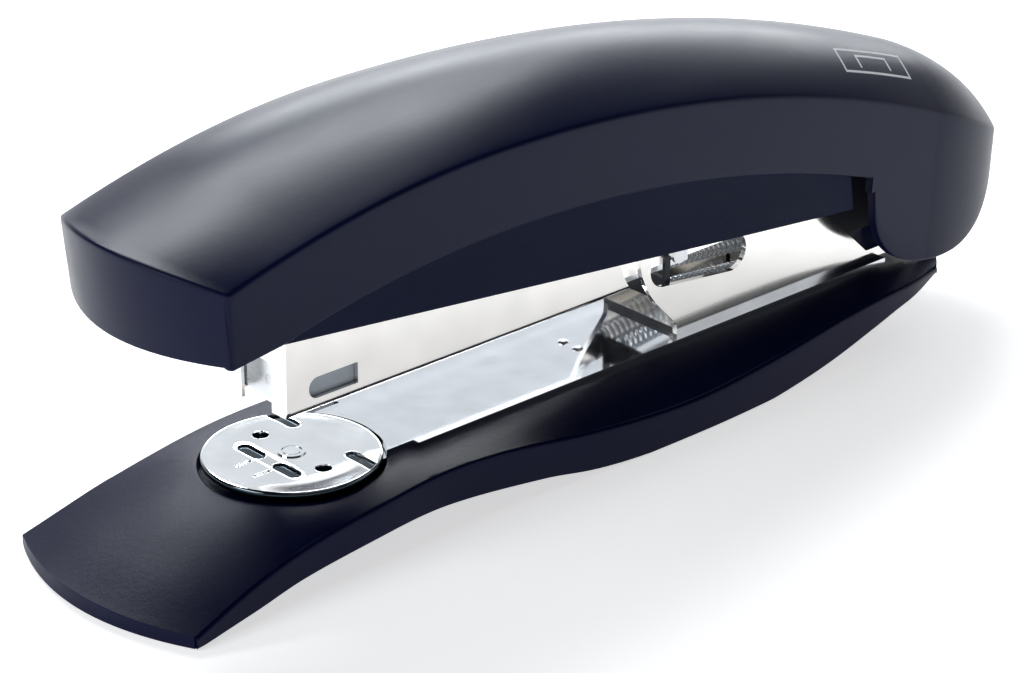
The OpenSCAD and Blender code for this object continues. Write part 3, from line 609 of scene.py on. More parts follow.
@dataclass
class Cover:
    """The arched top cover: its side edge, crown, lower edge and rounded heel."""

    reach: float = 146.0
    hinge_z: float = 30.0
    heel: float = 22.0
    width: float = 41.8
    top_edge: float = 62.8
    nose_x: float = -20.6
    nose_bulge: float = 6.5
    nose_z: float = 54.3
    rear_z: float = 26.7
    draft: float = 0.055
    wall: float = 1.5
    crease: float = 0.75
    rim: float = 0.55
    nose_round: float = 0.6
    leg_front: float = 24.4
    heel_turn: float = 30.0
    crown_turn: float = 24.0
    crown_nose: float = 2.9
    crown_gain: float = 6.7
    crown_top: float = 9.6
    arch_depth: float = 14.2
    lobe_depth: float = 18.2
    lobe_front: float = 22.5

    @property
    def end(self) -> float:
        """Position of the rear tip."""
        return self.reach + self.heel

    @property
    def apex(self) -> float:
        """Where the side edge is highest."""
        return 34.0 / 146.0 * self.reach

    @property
    def leg(self) -> float:
        """Front of the leg that covers the hinge."""
        return self.reach - self.leg_front

    def half(self, x: np.ndarray) -> np.ndarray:
        """Half width: a shallow parabola, then an ellipse round the heel.

        Args:
            x: Positions.

        Returns:
            Half widths.
        """
        turn = self.end - self.heel_turn
        k = self.width / 41.8
        front = k * (20.9 - 2.9 * ((x - 10) / (turn - 10)) ** 2)
        back = k * 18 * np.sqrt(np.maximum(0.0008, 1 - ((x - turn) / (self.end + 0.012 - turn)) ** 2))
        return np.where(x < turn, front, back)

    def side_z(self, x: np.ndarray) -> np.ndarray:
        """Height of the side edge: two parabolas that meet at the apex.

        Args:
            x: Positions.

        Returns:
            Heights.
        """
        front = (self.top_edge - self.nose_z) * ((x - self.apex) / (self.nose_x - self.apex)) ** 2
        back = (self.top_edge - self.rear_z) * ((x - self.apex) / (self.end - self.apex)) ** 2
        return self.top_edge - np.where(x < self.apex, front, back)

    def crown(self, x: np.ndarray) -> np.ndarray:
        """Rise of the crown over the side edges: it grows slowly, then closes as an ellipse.

        Args:
            x: Positions.

        Returns:
            Rises.
        """
        turn = self.end - self.crown_turn
        way = np.maximum((x - self.nose_x) / (turn - self.nose_x), 0.0)
        front = self.crown_nose + self.crown_gain * way**0.92
        back = self.crown_top * np.sqrt(np.maximum(0.0006, 1 - ((x - turn) / (self.end + 0.006 - turn)) ** 2))
        return np.where(x < turn, front, back)

    def arch(self, x: np.ndarray) -> np.ndarray:
        """Lower edge between the nose and the leg: two parabolas.

        Args:
            x: Positions.

        Returns:
            Heights.
        """
        top = self.apex + 2
        front = 5.6 * ((x - top) / (self.nose_x + 11 - top)) ** 2
        back = 15.7 * ((x - top) / (self.leg - top)) ** 2
        return self.top_edge - self.arch_depth - np.where(x < top, front, back)

    def lobe(self, x: np.ndarray) -> np.ndarray:
        """Lower edge of the leg: a rounded lobe, by a superellipse about the hinge.

        Args:
            x: Positions.

        Returns:
            Heights.
        """
        mid = self.reach - 1
        t = np.abs(x - mid) / np.where(x < mid, self.lobe_front, self.heel - 1.8)
        power = np.where(x < mid, 2.3, 1.95)
        return self.hinge_z - self.lobe_depth * np.maximum(0.0, 1 - t**power) ** (1 / power)

    def rim_z(self, x: np.ndarray) -> np.ndarray:
        """Lower edge all along the cover, with a small rounding where the arch meets the leg.

        Args:
            x: Positions.

        Returns:
            Heights.
        """
        corner = self.nose_x + 11
        nose = self.arch(np.array(corner)) - 0.126 * (corner - x)
        leg = np.minimum(self.lobe(x), self.side_z(x) - 2.2)
        return np.where(x < corner, nose, np.where(x < self.leg, self.arch(x), leg))

    def nose_shift(self, x: np.ndarray, y: np.ndarray, z: np.ndarray) -> np.ndarray:
        """How far the nose bows out and leans back, fading over the first 16 mm.

        Args:
            x: Positions.
            y: Offsets across.
            z: Heights.

        Returns:
            Shifts along x.
        """
        fade = np.clip(1 - (x - self.nose_x) / 16, 0, 1) ** 2
        t = y / float(self.half(np.array(self.nose_x)))
        return fade * (0.1 * (self.nose_z - z) - self.nose_bulge * (1 - t * t))

    def section(self, x: np.ndarray, inset: float, rows: int) -> np.ndarray:
        """Cross-sections: rim, side, rounded edge, crown, rounded edge, side, rim.

        Args:
            x: Positions, shape (n,).
            inset: How far inside the outer face the path runs.
            rows: Points over the crown.

        Returns:
            Paths of (y, z), shape (n, m, 2).
        """
        s, r, h = self.side_z(x) - 0.6 * inset, self.rim_z(x), self.crown(x) - 0.4 * inset
        w = np.maximum(self.half(x) - inset, 0.3)
        low = np.maximum(w - self.draft * (s - r), 0.25)
        corner = np.stack([-w, s], 1)
        foot = np.stack([-low, r], 1)
        t = np.linspace(-1, 1, rows)
        over = np.stack([w[:, None] * t, s[:, None] + h[:, None] * (1 - t * t)], -1)
        edge = rounded(corner, foot, over[:, 2], self.crease, 7)
        inward = foot + np.array([1.0, 0.0]) * np.minimum(self.wall, low)[:, None]
        rim = rounded(foot, inward, corner, self.rim if inset == 0 else 0.2, 6)
        k = np.linspace(0, 1, 10)[None, 1:-1, None]
        side = rim[:, -1:] * (1 - k) + edge[:, :1] * k
        near = np.concatenate([rim, side, edge], 1)
        far = near[:, ::-1] * np.array([-1.0, 1.0])
        inner = over[:, (np.abs(t) < 0.93)]
        return np.concatenate([near, inner, far], 1)

    def stations(self) -> np.ndarray:
        """Positions of the sections: close together at the leg's front and at the heel.

        Returns:
            Positions in rising order.
        """
        front = np.linspace(self.nose_x + self.nose_round, self.leg - 0.01, 120)
        t = np.linspace(0, 1, 80)
        back = self.leg + (self.end - self.leg) * (t + 0.35 * np.sin(2 * math.pi * t) / (2 * math.pi))
        start = self.leg + np.array([0.0, 0.02, 0.06, 0.12, 0.25, 0.45, 0.7])
        tail = self.end - np.geomspace(1.6, 0.004, 14)
        return np.unique(np.concatenate([front, start, back[1:-1], tail, [self.end]]))

    def skins(self) -> tuple:
        """Outside and inside grids, with the nose's end wall folded down to the rim.

        Returns:
            Outer and inner arrays of shape (stations, ring, 3).
        """
        x = self.stations()
        rows = 49
        outer = self.section(x, 0.0, rows)
        xi = np.clip(x, self.nose_x + 2.2, self.end - 1.7)
        inner = self.section(xi, self.wall, rows)
        outer = np.concatenate([np.repeat(x[:, None, None], outer.shape[1], 1), outer], -1)
        inner = np.concatenate([np.repeat(xi[:, None, None], inner.shape[1], 1), inner], -1)
        phi = np.linspace(0, math.pi / 2, 7)[1:]
        first = outer[0, :, 1:]
        mid = np.array([0.0, 0.5 * (first[:, 1].max() + first[:, 1].min())])
        reach = np.array([first[:, 0].max(), 0.5 * (first[:, 1].max() - first[:, 1].min())])
        turned = []
        for a in phi[::-1]:
            share = 1 - self.nose_round * (1 - math.cos(a)) / reach
            ring = mid + (first - mid) * share
            at = np.full((len(ring), 1), self.nose_x + self.nose_round * (1 - math.sin(a)))
            turned.append(np.concatenate([at, ring], 1))
        face = turned[0]
        low = face[:, 2].min()
        folded = []
        for k in np.linspace(1, 0, 26)[:-1]:
            p = face.copy()
            p[:, 2] = low + (p[:, 2] - low) * (1 - k)
            folded.append(p)
        outer = np.concatenate([np.array(folded), np.array(turned), outer])
        extra = len(outer) - len(inner)
        shut = np.repeat(inner[:1], extra, 0)
        drop = np.linspace(0, 1, len(folded))[:, None]
        shut[: len(folded), :, 2] = low + (shut[: len(folded), :, 2] - low) * drop
        inner = np.concatenate([shut, inner])
        for g in (outer, inner):
            g[..., 0] += self.nose_shift(np.maximum(g[..., 0], self.nose_x), g[..., 1], g[..., 2])
        return outer, inner

    def build(self, finishes: Finishes) -> bpy.types.Object:
        """Makes the cover.

        Args:
            finishes: The stapler's finishes.

        Returns:
            The cover.
        """
        points, faces = double_skin(*self.skins())
        obj = make_mesh("cover_moulding", points, faces, 40.0)
        return finish_piece(obj, Body.HANDLE, finishes.cover, ("top_cover",))

    def surface(self, x: np.ndarray, y: np.ndarray) -> np.ndarray:
        """Height of the crown at a point in plan.

        Args:
            x: Positions.
            y: Offsets across.

        Returns:
            Heights.
        """
        return self.side_z(x) + self.crown(x) * (1 - (y / self.half(x)) ** 2)


@dataclass
class Badge:
    """A plain printed mark on the crown: a slanted frame with a staple's outline in it."""

    cover: Cover
    x: float = 127.8
    y: float = -11.0
    length: float = 17.5
    height: float = 4.8
    slant: float = 0.45
    turn: float = 0.05
    stroke: float = 0.42
    proud: float = 0.035
    thick: float = 0.1

    def bars(self) -> list:
        """Bars of the mark: a frame's four sides, and the staple's crown and legs.

        Returns:
            Pairs of end points in the mark's own plane.
        """
        w, h = self.length / 2, self.height / 2
        frame_bars = [((-w, -h), (w, -h)), ((w, -h), (w, h)), ((w, h), (-w, h)), ((-w, h), (-w, -h))]
        staple = [((-4.0, 1.1), (4.0, 1.1)), ((-4.0, 1.1), (-4.0, -1.3)), ((4.0, 1.1), (4.0, -1.3))]
        return frame_bars + staple

    def build(self, finishes: Finishes) -> bpy.types.Object:
        """Makes the mark as thin raised strips that follow the crown.

        Args:
            finishes: The stapler's finishes.

        Returns:
            The mark.
        """
        points, faces, count = [], [], 0
        for a, b in self.bars():
            a, b = np.array(a), np.array(b)
            d = (b - a) / np.linalg.norm(b - a)
            n = np.array([-d[1], d[0]]) * self.stroke / 2
            a, b = a - d * self.stroke / 2, b + d * self.stroke / 2
            t = np.linspace(0, 1, 13)[:, None]
            line = a + (b - a) * t
            flat = np.stack([line + n, line - n], 1)
            fx, fy = flat[..., 0] + self.slant * flat[..., 1], flat[..., 1]
            px = self.x + fx * math.cos(self.turn) - fy * math.sin(self.turn)
            py = self.y + fx * math.sin(self.turn) + fy * math.cos(self.turn)
            top = self.cover.surface(px, py) + self.proud
            low = top - self.thick
            corners = ((0, top), (1, top), (1, low), (0, low))
            ring = np.stack([np.stack([px[:, k], py[:, k], z[:, k]], -1) for k, z in corners], 1)
            ends = [np.repeat(r.mean(1, keepdims=True), 4, 1) for r in (ring[:1], ring[-1:])]
            grid = np.concatenate([ends[0], ring, ends[1]])
            points.append(grid.reshape(-1, 3))
            faces.append(grid_faces(len(grid), 4, count, close_cols=True))
            count += grid.size // 3
        obj = make_mesh("printed_mark", np.concatenate(points), np.concatenate(faces))
        return finish_piece(obj, Body.HANDLE, finishes.print)


@dataclass
class Skirt:
    """The inner shell under the arch: two drafted sides and a flat top."""

    cover: Cover
    slope: float = 0.1155
    level: float = 40.963
    top: float = 59.1
    wall: float = 1.5
    recess: float = 1.7
    lean: float = 3.4
    front_gap: float = 8.0
    rear_gap: float = 27.0

    def low(self, x: np.ndarray) -> np.ndarray:
        """Lower edge: a straight line that drops to the rear, kept under the cover's own edge.

        Args:
            x: Positions.

        Returns:
            Heights.
        """
        rim = self.cover.rim_z(np.minimum(x, self.cover.leg - 0.5))
        return np.minimum(self.level - self.slope * x, rim - 0.6)

    def half(self, x: np.ndarray, z: np.ndarray) -> np.ndarray:
        """Half width, recessed from the cover's drafted side.

        Args:
            x: Positions.
            z: Heights.

        Returns:
            Half widths.
        """
        c = self.cover
        return c.half(x) - self.recess - c.draft * (c.side_z(x) - z)

    def path(self, x: np.ndarray, inset: float) -> np.ndarray:
        """Sections from the near lower edge over the top to the far one.

        Args:
            x: Positions.
            inset: How far inside the outer face the path runs.

        Returns:
            Points, shape (n, m, 3).
        """
        low = self.low(x)
        high = np.minimum(self.top - self.slope * x, self.cover.side_z(x) - 2.0) - inset
        foot = np.stack([-(self.half(x, low) - inset), low], 1)
        head = np.stack([-(self.half(x, high) - inset - 0.3), high], 1)
        centre = np.stack([np.zeros_like(x), high], 1)
        inward = foot + np.array([self.wall, 0.0])
        rim = rounded(foot, inward, head, 0.45 if inset == 0 else 0.2, 6)
        edge = rounded(head, foot, centre, 0.6, 5)
        k = np.linspace(0, 1, 8)[None, 1:-1, None]
        side = rim[:, -1:] * (1 - k) + edge[:, :1] * k
        near = np.concatenate([rim, side, edge], 1)
        far = near[:, ::-1] * np.array([-1.0, 1.0])
        yz = np.concatenate([near, centre[:, None], far], 1)
        share = (yz[..., 1] - low[:, None]) / (high - low)[:, None]
        back = np.where(x > x[-1] - 1.0, self.lean, 0.0)[:, None] * share
        return np.concatenate([(x[:, None] - back)[..., None], yz], -1)

    def build(self, finishes: Finishes) -> bpy.types.Object:
        """Makes the skirt.

        Args:
            finishes: The stapler's finishes.

        Returns:
            The skirt.
        """
        x = np.linspace(self.cover.nose_x + self.front_gap, self.cover.reach - self.rear_gap, 90)
        points, faces = double_skin(self.path(x, 0.0), self.path(x, self.wall))
        obj = make_mesh("skirt_moulding", points, faces, 40.0)
        return finish_piece(obj, Body.HANDLE, finishes.shell, ("inner_shell",))


# ---- Base ---------------------------------------------------------------------------------------


@dataclass
class BaseMoulding:
    """The wave-shaped base: crowned deck, drafted edge, recess for the anvil, open underside."""

    start: float = -30.0
    tail: float = 147.0
    toe_bulge: float = 5.8
    tail_bulge: float = 2.5
    wall: float = 2.2
    deck: float = 3.4
    plate_half: float = 10.9
    anvil: tuple = (6.6, 0.0)
    recess_r: float = 15.0
    recess_z: float = 8.85
    edge: float = 0.55
    rows_half: float = 20.5
    ring_end: float = 20.3
    least_half: float = 19.2
    half_points: tuple = (
        (0, 22.5), (0.06, 21.5), (0.13, 20.8), (0.21, 20.7), (0.3, 19.9), (0.41, 20.4),
        (0.53, 21.2), (0.66, 21.1), (0.8, 19.2), (0.93, 16.1), (1, 11.8),
    )
    edge_points: tuple = (
        (0, 2.2), (0.085, 6.8), (0.17, 9.6), (0.265, 11.1), (0.35, 10.8), (0.465, 8.2),
        (0.585, 6.7), (0.695, 7.5), (0.82, 8.9), (0.905, 8.8), (1, 6.9),
    )
    low_points: tuple = (
        (0, 0), (0.07, 1.6), (0.125, 3.3), (0.225, 5.1), (0.295, 5.1), (0.41, 3), (0.47, 1.2), (0.53, 0.3),
        (0.6, 0), (0.68, 0), (0.725, 0.4), (0.8, 1.8), (0.875, 4), (0.92, 5.1), (1, 5.8),
    )
    crown_points: tuple = (
        (0, 2.9), (0.035, 6), (0.08, 9), (0.125, 10.7), (0.17, 11.1), (0.25, 11.2), (0.88, 11.2),
        (0.93, 10.6), (1, 9.2),
    )

    def share(self, x: np.ndarray) -> np.ndarray:
        """Share of the base's length at a position.

        Args:
            x: Positions.

        Returns:
            0 at the toe's corners, 1 at the tail's.
        """
        return (x - self.start) / (self.tail - self.start)

    def half(self, u: np.ndarray) -> np.ndarray:
        """Half width at a share of the length."""
        return Curve(self.half_points)(u)

    def low(self, u: np.ndarray) -> np.ndarray:
        """Height of the lower edge at a share of the length."""
        return np.maximum(0.2, Curve(self.low_points)(u))

    def deck_z(self, u: np.ndarray, t: np.ndarray) -> np.ndarray:
        """Height of the deck: flat under the plate, then falling to the edge by a power of 1.7.

        Args:
            u: Shares of the length.
            t: Shares of the half width.

        Returns:
            Heights.
        """
        edge, crown = Curve(self.edge_points)(u), Curve(self.crown_points)(u)
        flat = self.plate_half / self.half(u) * smooth((u - 0.05) / 0.12)
        fall = np.clip((t - flat) / np.maximum(1 - flat, 1e-3), 0, 1) ** 1.7
        return edge + (crown - edge) * (1 - fall)

    def bow(self, u: np.ndarray, t: np.ndarray) -> np.ndarray:
        """How far the two ends bow out at a share of the half width.

        Args:
            u: Shares of the length.
            t: Shares of the half width.

        Returns:
            Shifts along x.
        """
        back = self.tail_bulge * np.clip((u - 0.9) / 0.1, 0, 1) ** 2
        front = self.toe_bulge * np.clip(1 - u / 0.13, 0, 1) ** 2
        return (1 - t * t) * (back - front)

    def rows(self) -> np.ndarray:
        """Offsets across the deck, with close pairs where the recess's wall stands.

        Returns:
            Offsets from the near edge to the far one, for a deck of rows_half to each side.
        """
        r = self.recess_r
        wall = [r - 0.02, r, r + 0.06, r + 0.14, r + 0.25]
        half = np.concatenate([np.linspace(0, r - 1.2, 15), wall, np.linspace(r + 0.8, self.rows_half, 12)])
        return np.concatenate([-half[:0:-1], half])

    def plan(self, x: np.ndarray) -> tuple:
        """Points of the deck in plan: straight rows that bend to a circle round the anvil.

        Args:
            x: Positions of the stations.

        Returns:
            x and y of the points, and each point's distance from the anvil's centre in units of the
            bent square rings, so that a ring of the grid lies on the recess's wall.
        """
        rows = self.rows()
        w = self.half(self.share(x))
        wide = np.maximum(w, self.least_half)
        spread = smooth((np.abs(rows) - 16.0) / 4.5)[None]
        y = rows[None] + (wide[:, None] - self.rows_half) * spread * np.sign(rows)[None]
        y = y * (w / wide)[:, None]
        px = np.repeat(x[:, None], len(rows), 1)
        dx, dy = px - self.anvil[0], np.repeat(rows[None], len(x), 0)
        ring = np.maximum(np.abs(dx), np.abs(dy))
        pull = ring / np.maximum(np.hypot(dx, dy), 1e-6)
        fade = smooth((ring - self.recess_r - 0.3) / (self.ring_end - self.recess_r))
        pull = np.where(ring < 1e-6, 1.0, pull + (1 - pull) * fade)
        return self.anvil[0] + dx * pull, np.where(ring < self.ring_end, y - dy + dy * pull, y), ring

    def stations(self) -> np.ndarray:
        """Positions along the base, with close pairs where the recess's wall stands.

        Returns:
            Positions in rising order.
        """
        r, a = self.recess_r, self.anvil[0]
        close = np.array([r - 0.02, r, r + 0.06, r + 0.14, r + 0.25, r + 0.8])
        toe = self.start + np.geomspace(0.05, 2.0, 6)
        before = np.linspace(self.start + 2.6, a - r - 1.4, 16)
        inside = np.linspace(a - r + 1.2, a + r - 1.2, 28)
        after = np.linspace(a + r + 1.6, self.tail, 120)
        return np.unique(np.concatenate([[self.start], toe, before, a - close, inside, a + close, after]))

    def skins(self) -> tuple:
        """Outside and inside grids, with both ends folded down to the lower edge.

        Returns:
            Outer and inner arrays of shape (stations, ring, 3).
        """
        x = self.stations()
        u = self.share(x)
        px, py, ring = self.plan(x)
        pu = np.clip(self.share(px), 0, 1)
        t = np.clip(np.abs(py) / self.half(pu), 0, 1)
        z = self.deck_z(pu, t)
        lip = np.clip((ring - self.recess_r) / 0.25, 0, 1)
        z = z - 0.25 * (1 - np.sqrt(1 - (1 - lip) ** 2)) * (ring < self.recess_r + 0.25)
        z = np.where(ring < self.recess_r - 0.01, self.recess_z, z)
        bx = px + self.bow(pu, t)
        top = np.stack([bx, py, z], -1)
        w, low = self.half(u), self.low(u)
        foot = np.stack([-w + 0.2, low], 1)
        corner = np.stack([-w, z[:, 0]], 1)
        size = np.minimum(self.edge, 0.3 * (z[:, 0] - low))[:, None]
        k = np.linspace(0, 1, 9)[None, :, None]
        up = foot[:, None] * (1 - k) + (corner - np.array([0.0, 1.0]) * size)[:, None] * k
        a = np.linspace(0, math.pi / 2, 7)[1:-1]
        turn = np.stack([-w[:, None] + size * (1 - np.cos(a)), corner[:, 1:] - size * (1 - np.sin(a))], -1)
        near = np.concatenate([up, turn], 1)
        near = np.concatenate([np.repeat(x[:, None, None], near.shape[1], 1), near], -1)
        far = near[:, ::-1] * np.array([1.0, -1.0, 1.0])
        inside = top.copy()
        inside[:, 0, 1] += self.edge * 0.9
        inside[:, -1, 1] -= self.edge * 0.9
        outer = np.concatenate([near, inside, far], 1)
        m = outer.shape[1]
        tt = np.linspace(-1, 1, m)[None]
        wi = (w - self.wall)[:, None]
        under = np.maximum(low[:, None] + 0.4, self.deck_z(u[:, None], np.abs(tt)) - self.deck)
        ix = np.clip(x, self.start + 2.5, self.tail - 2.2)[:, None] + self.bow(u[:, None], np.abs(tt))
        inner = np.stack([ix, wi * tt * 0.98, under], -1)
        inner[:, 0] = np.stack([x, -wi[:, 0], low], -1)
        inner[:, -1] = np.stack([x, wi[:, 0], low], -1)
        outer = self._fold(outer, low)
        inner = self._fold(inner, low)
        return outer, inner

    @staticmethod
    def _fold(grid: np.ndarray, low: np.ndarray) -> np.ndarray:
        """Adds rings at both ends that slide straight down to the lower edge.

        Args:
            grid: Points, shape (stations, ring, 3).
            low: Height of the lower edge at each station.

        Returns:
            The longer grid.
        """
        share = np.linspace(0, 1, 8)[:-1]
        first = np.repeat(grid[:1], len(share), 0)
        last = np.repeat(grid[-1:], len(share), 0)
        first[..., 2] = low[0] + (first[..., 2] - low[0]) * share[:, None]
        last[..., 2] = low[-1] + (last[..., 2] - low[-1]) * share[::-1, None]
        return np.concatenate([first, grid, last])

    def build(self, finishes: Finishes) -> bpy.types.Object:
        """Makes the base moulding.

        Args:
            finishes: The stapler's finishes.

        Returns:
            The base moulding.
        """
        points, faces = double_skin(*self.skins())
        obj = make_mesh("base_moulding", points, faces, 40.0)
        return finish_piece(obj, Body.BASE, finishes.base, ("base_shell",))


@dataclass(frozen=True)
class Pressing:
    """A shape pressed into the disc along a line in plan, or a round hole where its ends are one point."""

    start: tuple
    end: tuple
    half_width: float
    wall: float
    depth: float


@dataclass
class AnvilDisc:
    """The turning anvil: a polished disc with two clinch grooves, holes and two short engraved lines."""

    centre: tuple = (6.6, 0.0, 12.6)
    radius: float = 14.5
    thick: float = 1.4
    bore: float = 1.56
    rim_round: float = 0.5
    dish: float = 0.10

    @staticmethod
    def capsule(x: np.ndarray, y: np.ndarray, a: tuple, b: tuple) -> np.ndarray:
        """Distance from the line between two points.

        Args:
            x: Positions.
            y: Offsets across.
            a: First end.
            b: Second end.

        Returns:
            Distances.
        """
        a, b = np.array(a, float), np.array(b, float)
        d = b - a
        t = np.clip(((x - a[0]) * d[0] + (y - a[1]) * d[1]) / max(d @ d, 1e-9), 0, 1)
        return np.hypot(x - a[0] - t * d[0], y - a[1] - t * d[1])

    def pressings(self) -> list:
        """What is pressed into the disc, from its centre.

        Returns:
            The clinch pan; on each side a clinch groove, a pinning groove and a hole; two engraved lines.
        """
        clinch_x, pin_x, hole_y = -4.6, 6.3, 7.9
        shapes = [Pressing((clinch_x, -6.6), (clinch_x, 6.6), 1.1, 0.55, 0.16)]
        for s in (-1, 1):
            shapes += [
                Pressing((clinch_x, s * 2.6), (clinch_x, s * 6.3), 0.75, 0.5, 0.38),
                Pressing((pin_x, s * 7.4), (pin_x, s * 12.4), 0.7, 0.6, 0.42),
                Pressing((0.0, s * hole_y), (0.0, s * hole_y), 1.15, 0.22, 1.15),
            ]
        return shapes + [Pressing((-9.6, line_y), (-6.9, line_y), 0.2, 0.14, 0.5) for line_y in (1.7, -2.9)]

    def relief(self, x: np.ndarray, y: np.ndarray) -> np.ndarray:
        """Depth pressed into the disc, by smooth steps of the distance from each pressing's line.

        Args:
            x: Positions from the disc's centre.
            y: Offsets from the disc's centre.

        Returns:
            Depths.
        """
        cut = np.zeros_like(x)
        for p in self.pressings():
            away = self.capsule(x, y, p.start, p.end) - p.half_width
            cut += p.depth * smooth(1.0 - away / p.wall)
        return cut

    @staticmethod
    def _rings(radii: np.ndarray, heights: np.ndarray, around: np.ndarray) -> np.ndarray:
        """Flat rings about the disc's axis.

        Args:
            radii: Radius of each ring.
            heights: Height of each ring.
            around: Angles of a ring's points.

        Returns:
            Points, shape (rings, angles, 3).
        """
        z = np.repeat(heights[:, None], len(around), 1)
        return np.stack([radii[:, None] * np.cos(around), radii[:, None] * np.sin(around), z], -1)

    def build(self, finishes: Finishes) -> bpy.types.Object:
        """Makes the disc as a polar grid with its relief, over a rounded rim and a flat underside.

        Args:
            finishes: The stapler's finishes.

        Returns:
            The disc.
        """
        r = np.linspace(self.bore, self.radius - self.rim_round, 150)
        a = np.linspace(0, 2 * math.pi, 560, endpoint=False)
        rr, aa = np.meshgrid(r, a, indexing="ij")
        x, y = rr * np.cos(aa), rr * np.sin(aa)
        dish = self.dish * smooth((rr - 11.0) / 3.5)
        top = np.stack([x, y, -self.relief(x, y) - dish], -1)
        phi = np.linspace(0.15, math.pi, 12)
        rim_r = self.radius - self.rim_round + self.rim_round * np.sin(phi)
        rim_z = -self.dish - self.rim_round + self.rim_round * np.cos(phi)
        rim_z[phi > math.pi / 2] -= self.thick - 1.1
        rim = self._rings(rim_r, rim_z, a)
        low = self._rings(np.array([10.0, self.bore]), np.full(2, -self.thick), a)
        grid = np.concatenate([top, rim, low, top[:1]])
        points = grid.reshape(-1, 3) + np.array(self.centre)
        faces = grid_faces(len(grid), len(a), close_cols=True, flip=True)
        obj = make_mesh("anvil_disc_polished", points, faces, 35.0)
        return finish_piece(obj, Body.ANVIL, finishes.anvil, ("anvil_disc",))


# ---- Springs ------------------------------------------------------------------------------------


@dataclass(frozen=True)
class CoilSpring:
    """A coil spring of round wire along a straight line, with close turns at its ends."""

    start: tuple
    end: tuple
    radius: float
    wire: float
    turns: float
    closed: float = 2.0

    def path(self) -> np.ndarray:
        """A helix whose rise is slow at both ends, where the turns lie side by side.

        Returns:
            Points of the wire's middle.
        """
        n = int(self.turns * 22)
        k = np.linspace(0, 1, n)
        turn = k * self.turns
        total = np.linalg.norm(np.array(self.end) - np.array(self.start))
        tight = self.closed * self.wire * 1.04
        body = self.turns - 2 * self.closed
        knots = [0, self.closed, self.closed + body, self.turns]
        rise = np.interp(turn, knots, [self.wire / 2, tight, total - tight, total - self.wire / 2])
        axis = (np.array(self.end) - np.array(self.start)) / total
        side = np.cross(axis, [0.0, 1.0, 0.0])
        side /= np.linalg.norm(side)
        up = np.cross(axis, side)
        a = 2 * math.pi * turn[:, None]
        return np.array(self.start) + axis * rise[:, None] + self.radius * (np.cos(a) * side + np.sin(a) * up)

    def mesh(self) -> tuple:
        """Points and quads of the wire."""
        return sweep(self.path(), self.wire / 2, 8)


@dataclass
class Springs:
    """The stapler's coil springs."""

    pusher: CoilSpring = CoilSpring((11.8, 0, 26.3), (76.9, 0, 26.3), 1.85, 0.55, 46)
    front: tuple = (83.1, 0.0, 19.4)
    apart: float = 10.6
    length: float = 30.0
    tilt: float = math.radians(5.5)

    def build(self, finishes: Finishes) -> None:
        """Makes the coils: the pusher's coil rides on the magazine, and the return coils stay fixed where
        they are made.

        Args:
            finishes: The stapler's finishes.
        """
        obj = make_mesh("pusher_coil", *self.pusher.mesh())
        finish_piece(obj, Body.MAGAZINE, finishes.wire, ("pusher_spring",))
        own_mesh(obj)
        points, faces, count = [], [], 0
        for s in (-1, 1):
            a = np.array(self.front) + np.array([0.0, s * self.apart / 2, 0.0])
            b = a + self.length * np.array([math.cos(self.tilt), 0.0, -math.sin(self.tilt)])
            p, f = CoilSpring(tuple(a), tuple(b), 1.52, 0.5, 27).mesh()
            points.append(p)
            faces.append(f + count)
            count += len(p)
        obj = make_mesh("return_coils", np.concatenate(points), np.concatenate(faces))
        dress(obj, finishes.wire)
        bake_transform(obj)
        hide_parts("return_springs")


# ---- Carried-over nodes ---------------------------------------------------------------------------


def dress_frame(finishes: Finishes) -> None:
    """Gives each CAD node that stays its finish.

    Args:
        finishes: The stapler's finishes.
    """
    looks = {
        "front_foot": finishes.rubber, "rear_foot": finishes.rubber, "base_plate": finishes.plate,
        "plate_rivets": finishes.turned, "base_screws": finishes.turned, "hinge_bracket": finishes.bracket,
        "bracket_rivets": finishes.turned, "hinge_pin": finishes.turned, "pin_clips": finishes.black,
        "anvil_rivet": finishes.anvil, "anvil_washer": finishes.turned, "magazine_channel": finishes.channel,
        "staple_rail": finishes.zinc, "guide_rod": finishes.turned, "rear_stop": finishes.black,
        "magazine_arm": finishes.satin, "hinge_block": finishes.block, "stop_pin": finishes.turned,
        "spring_yoke": finishes.black, "pusher": finishes.pusher, "handle_frame": finishes.black,
        "frame_screws": finishes.turned, "driver_blade": finishes.blade, "blade_rivets": finishes.turned,
        "press_spring": finishes.wire,
    }
    for node, material in looks.items():
        dress(frame["nodes"][node], material)
        LOG.info("%s: carried over", node)


# ---- Studio ---------------------------------------------------------------------------------------


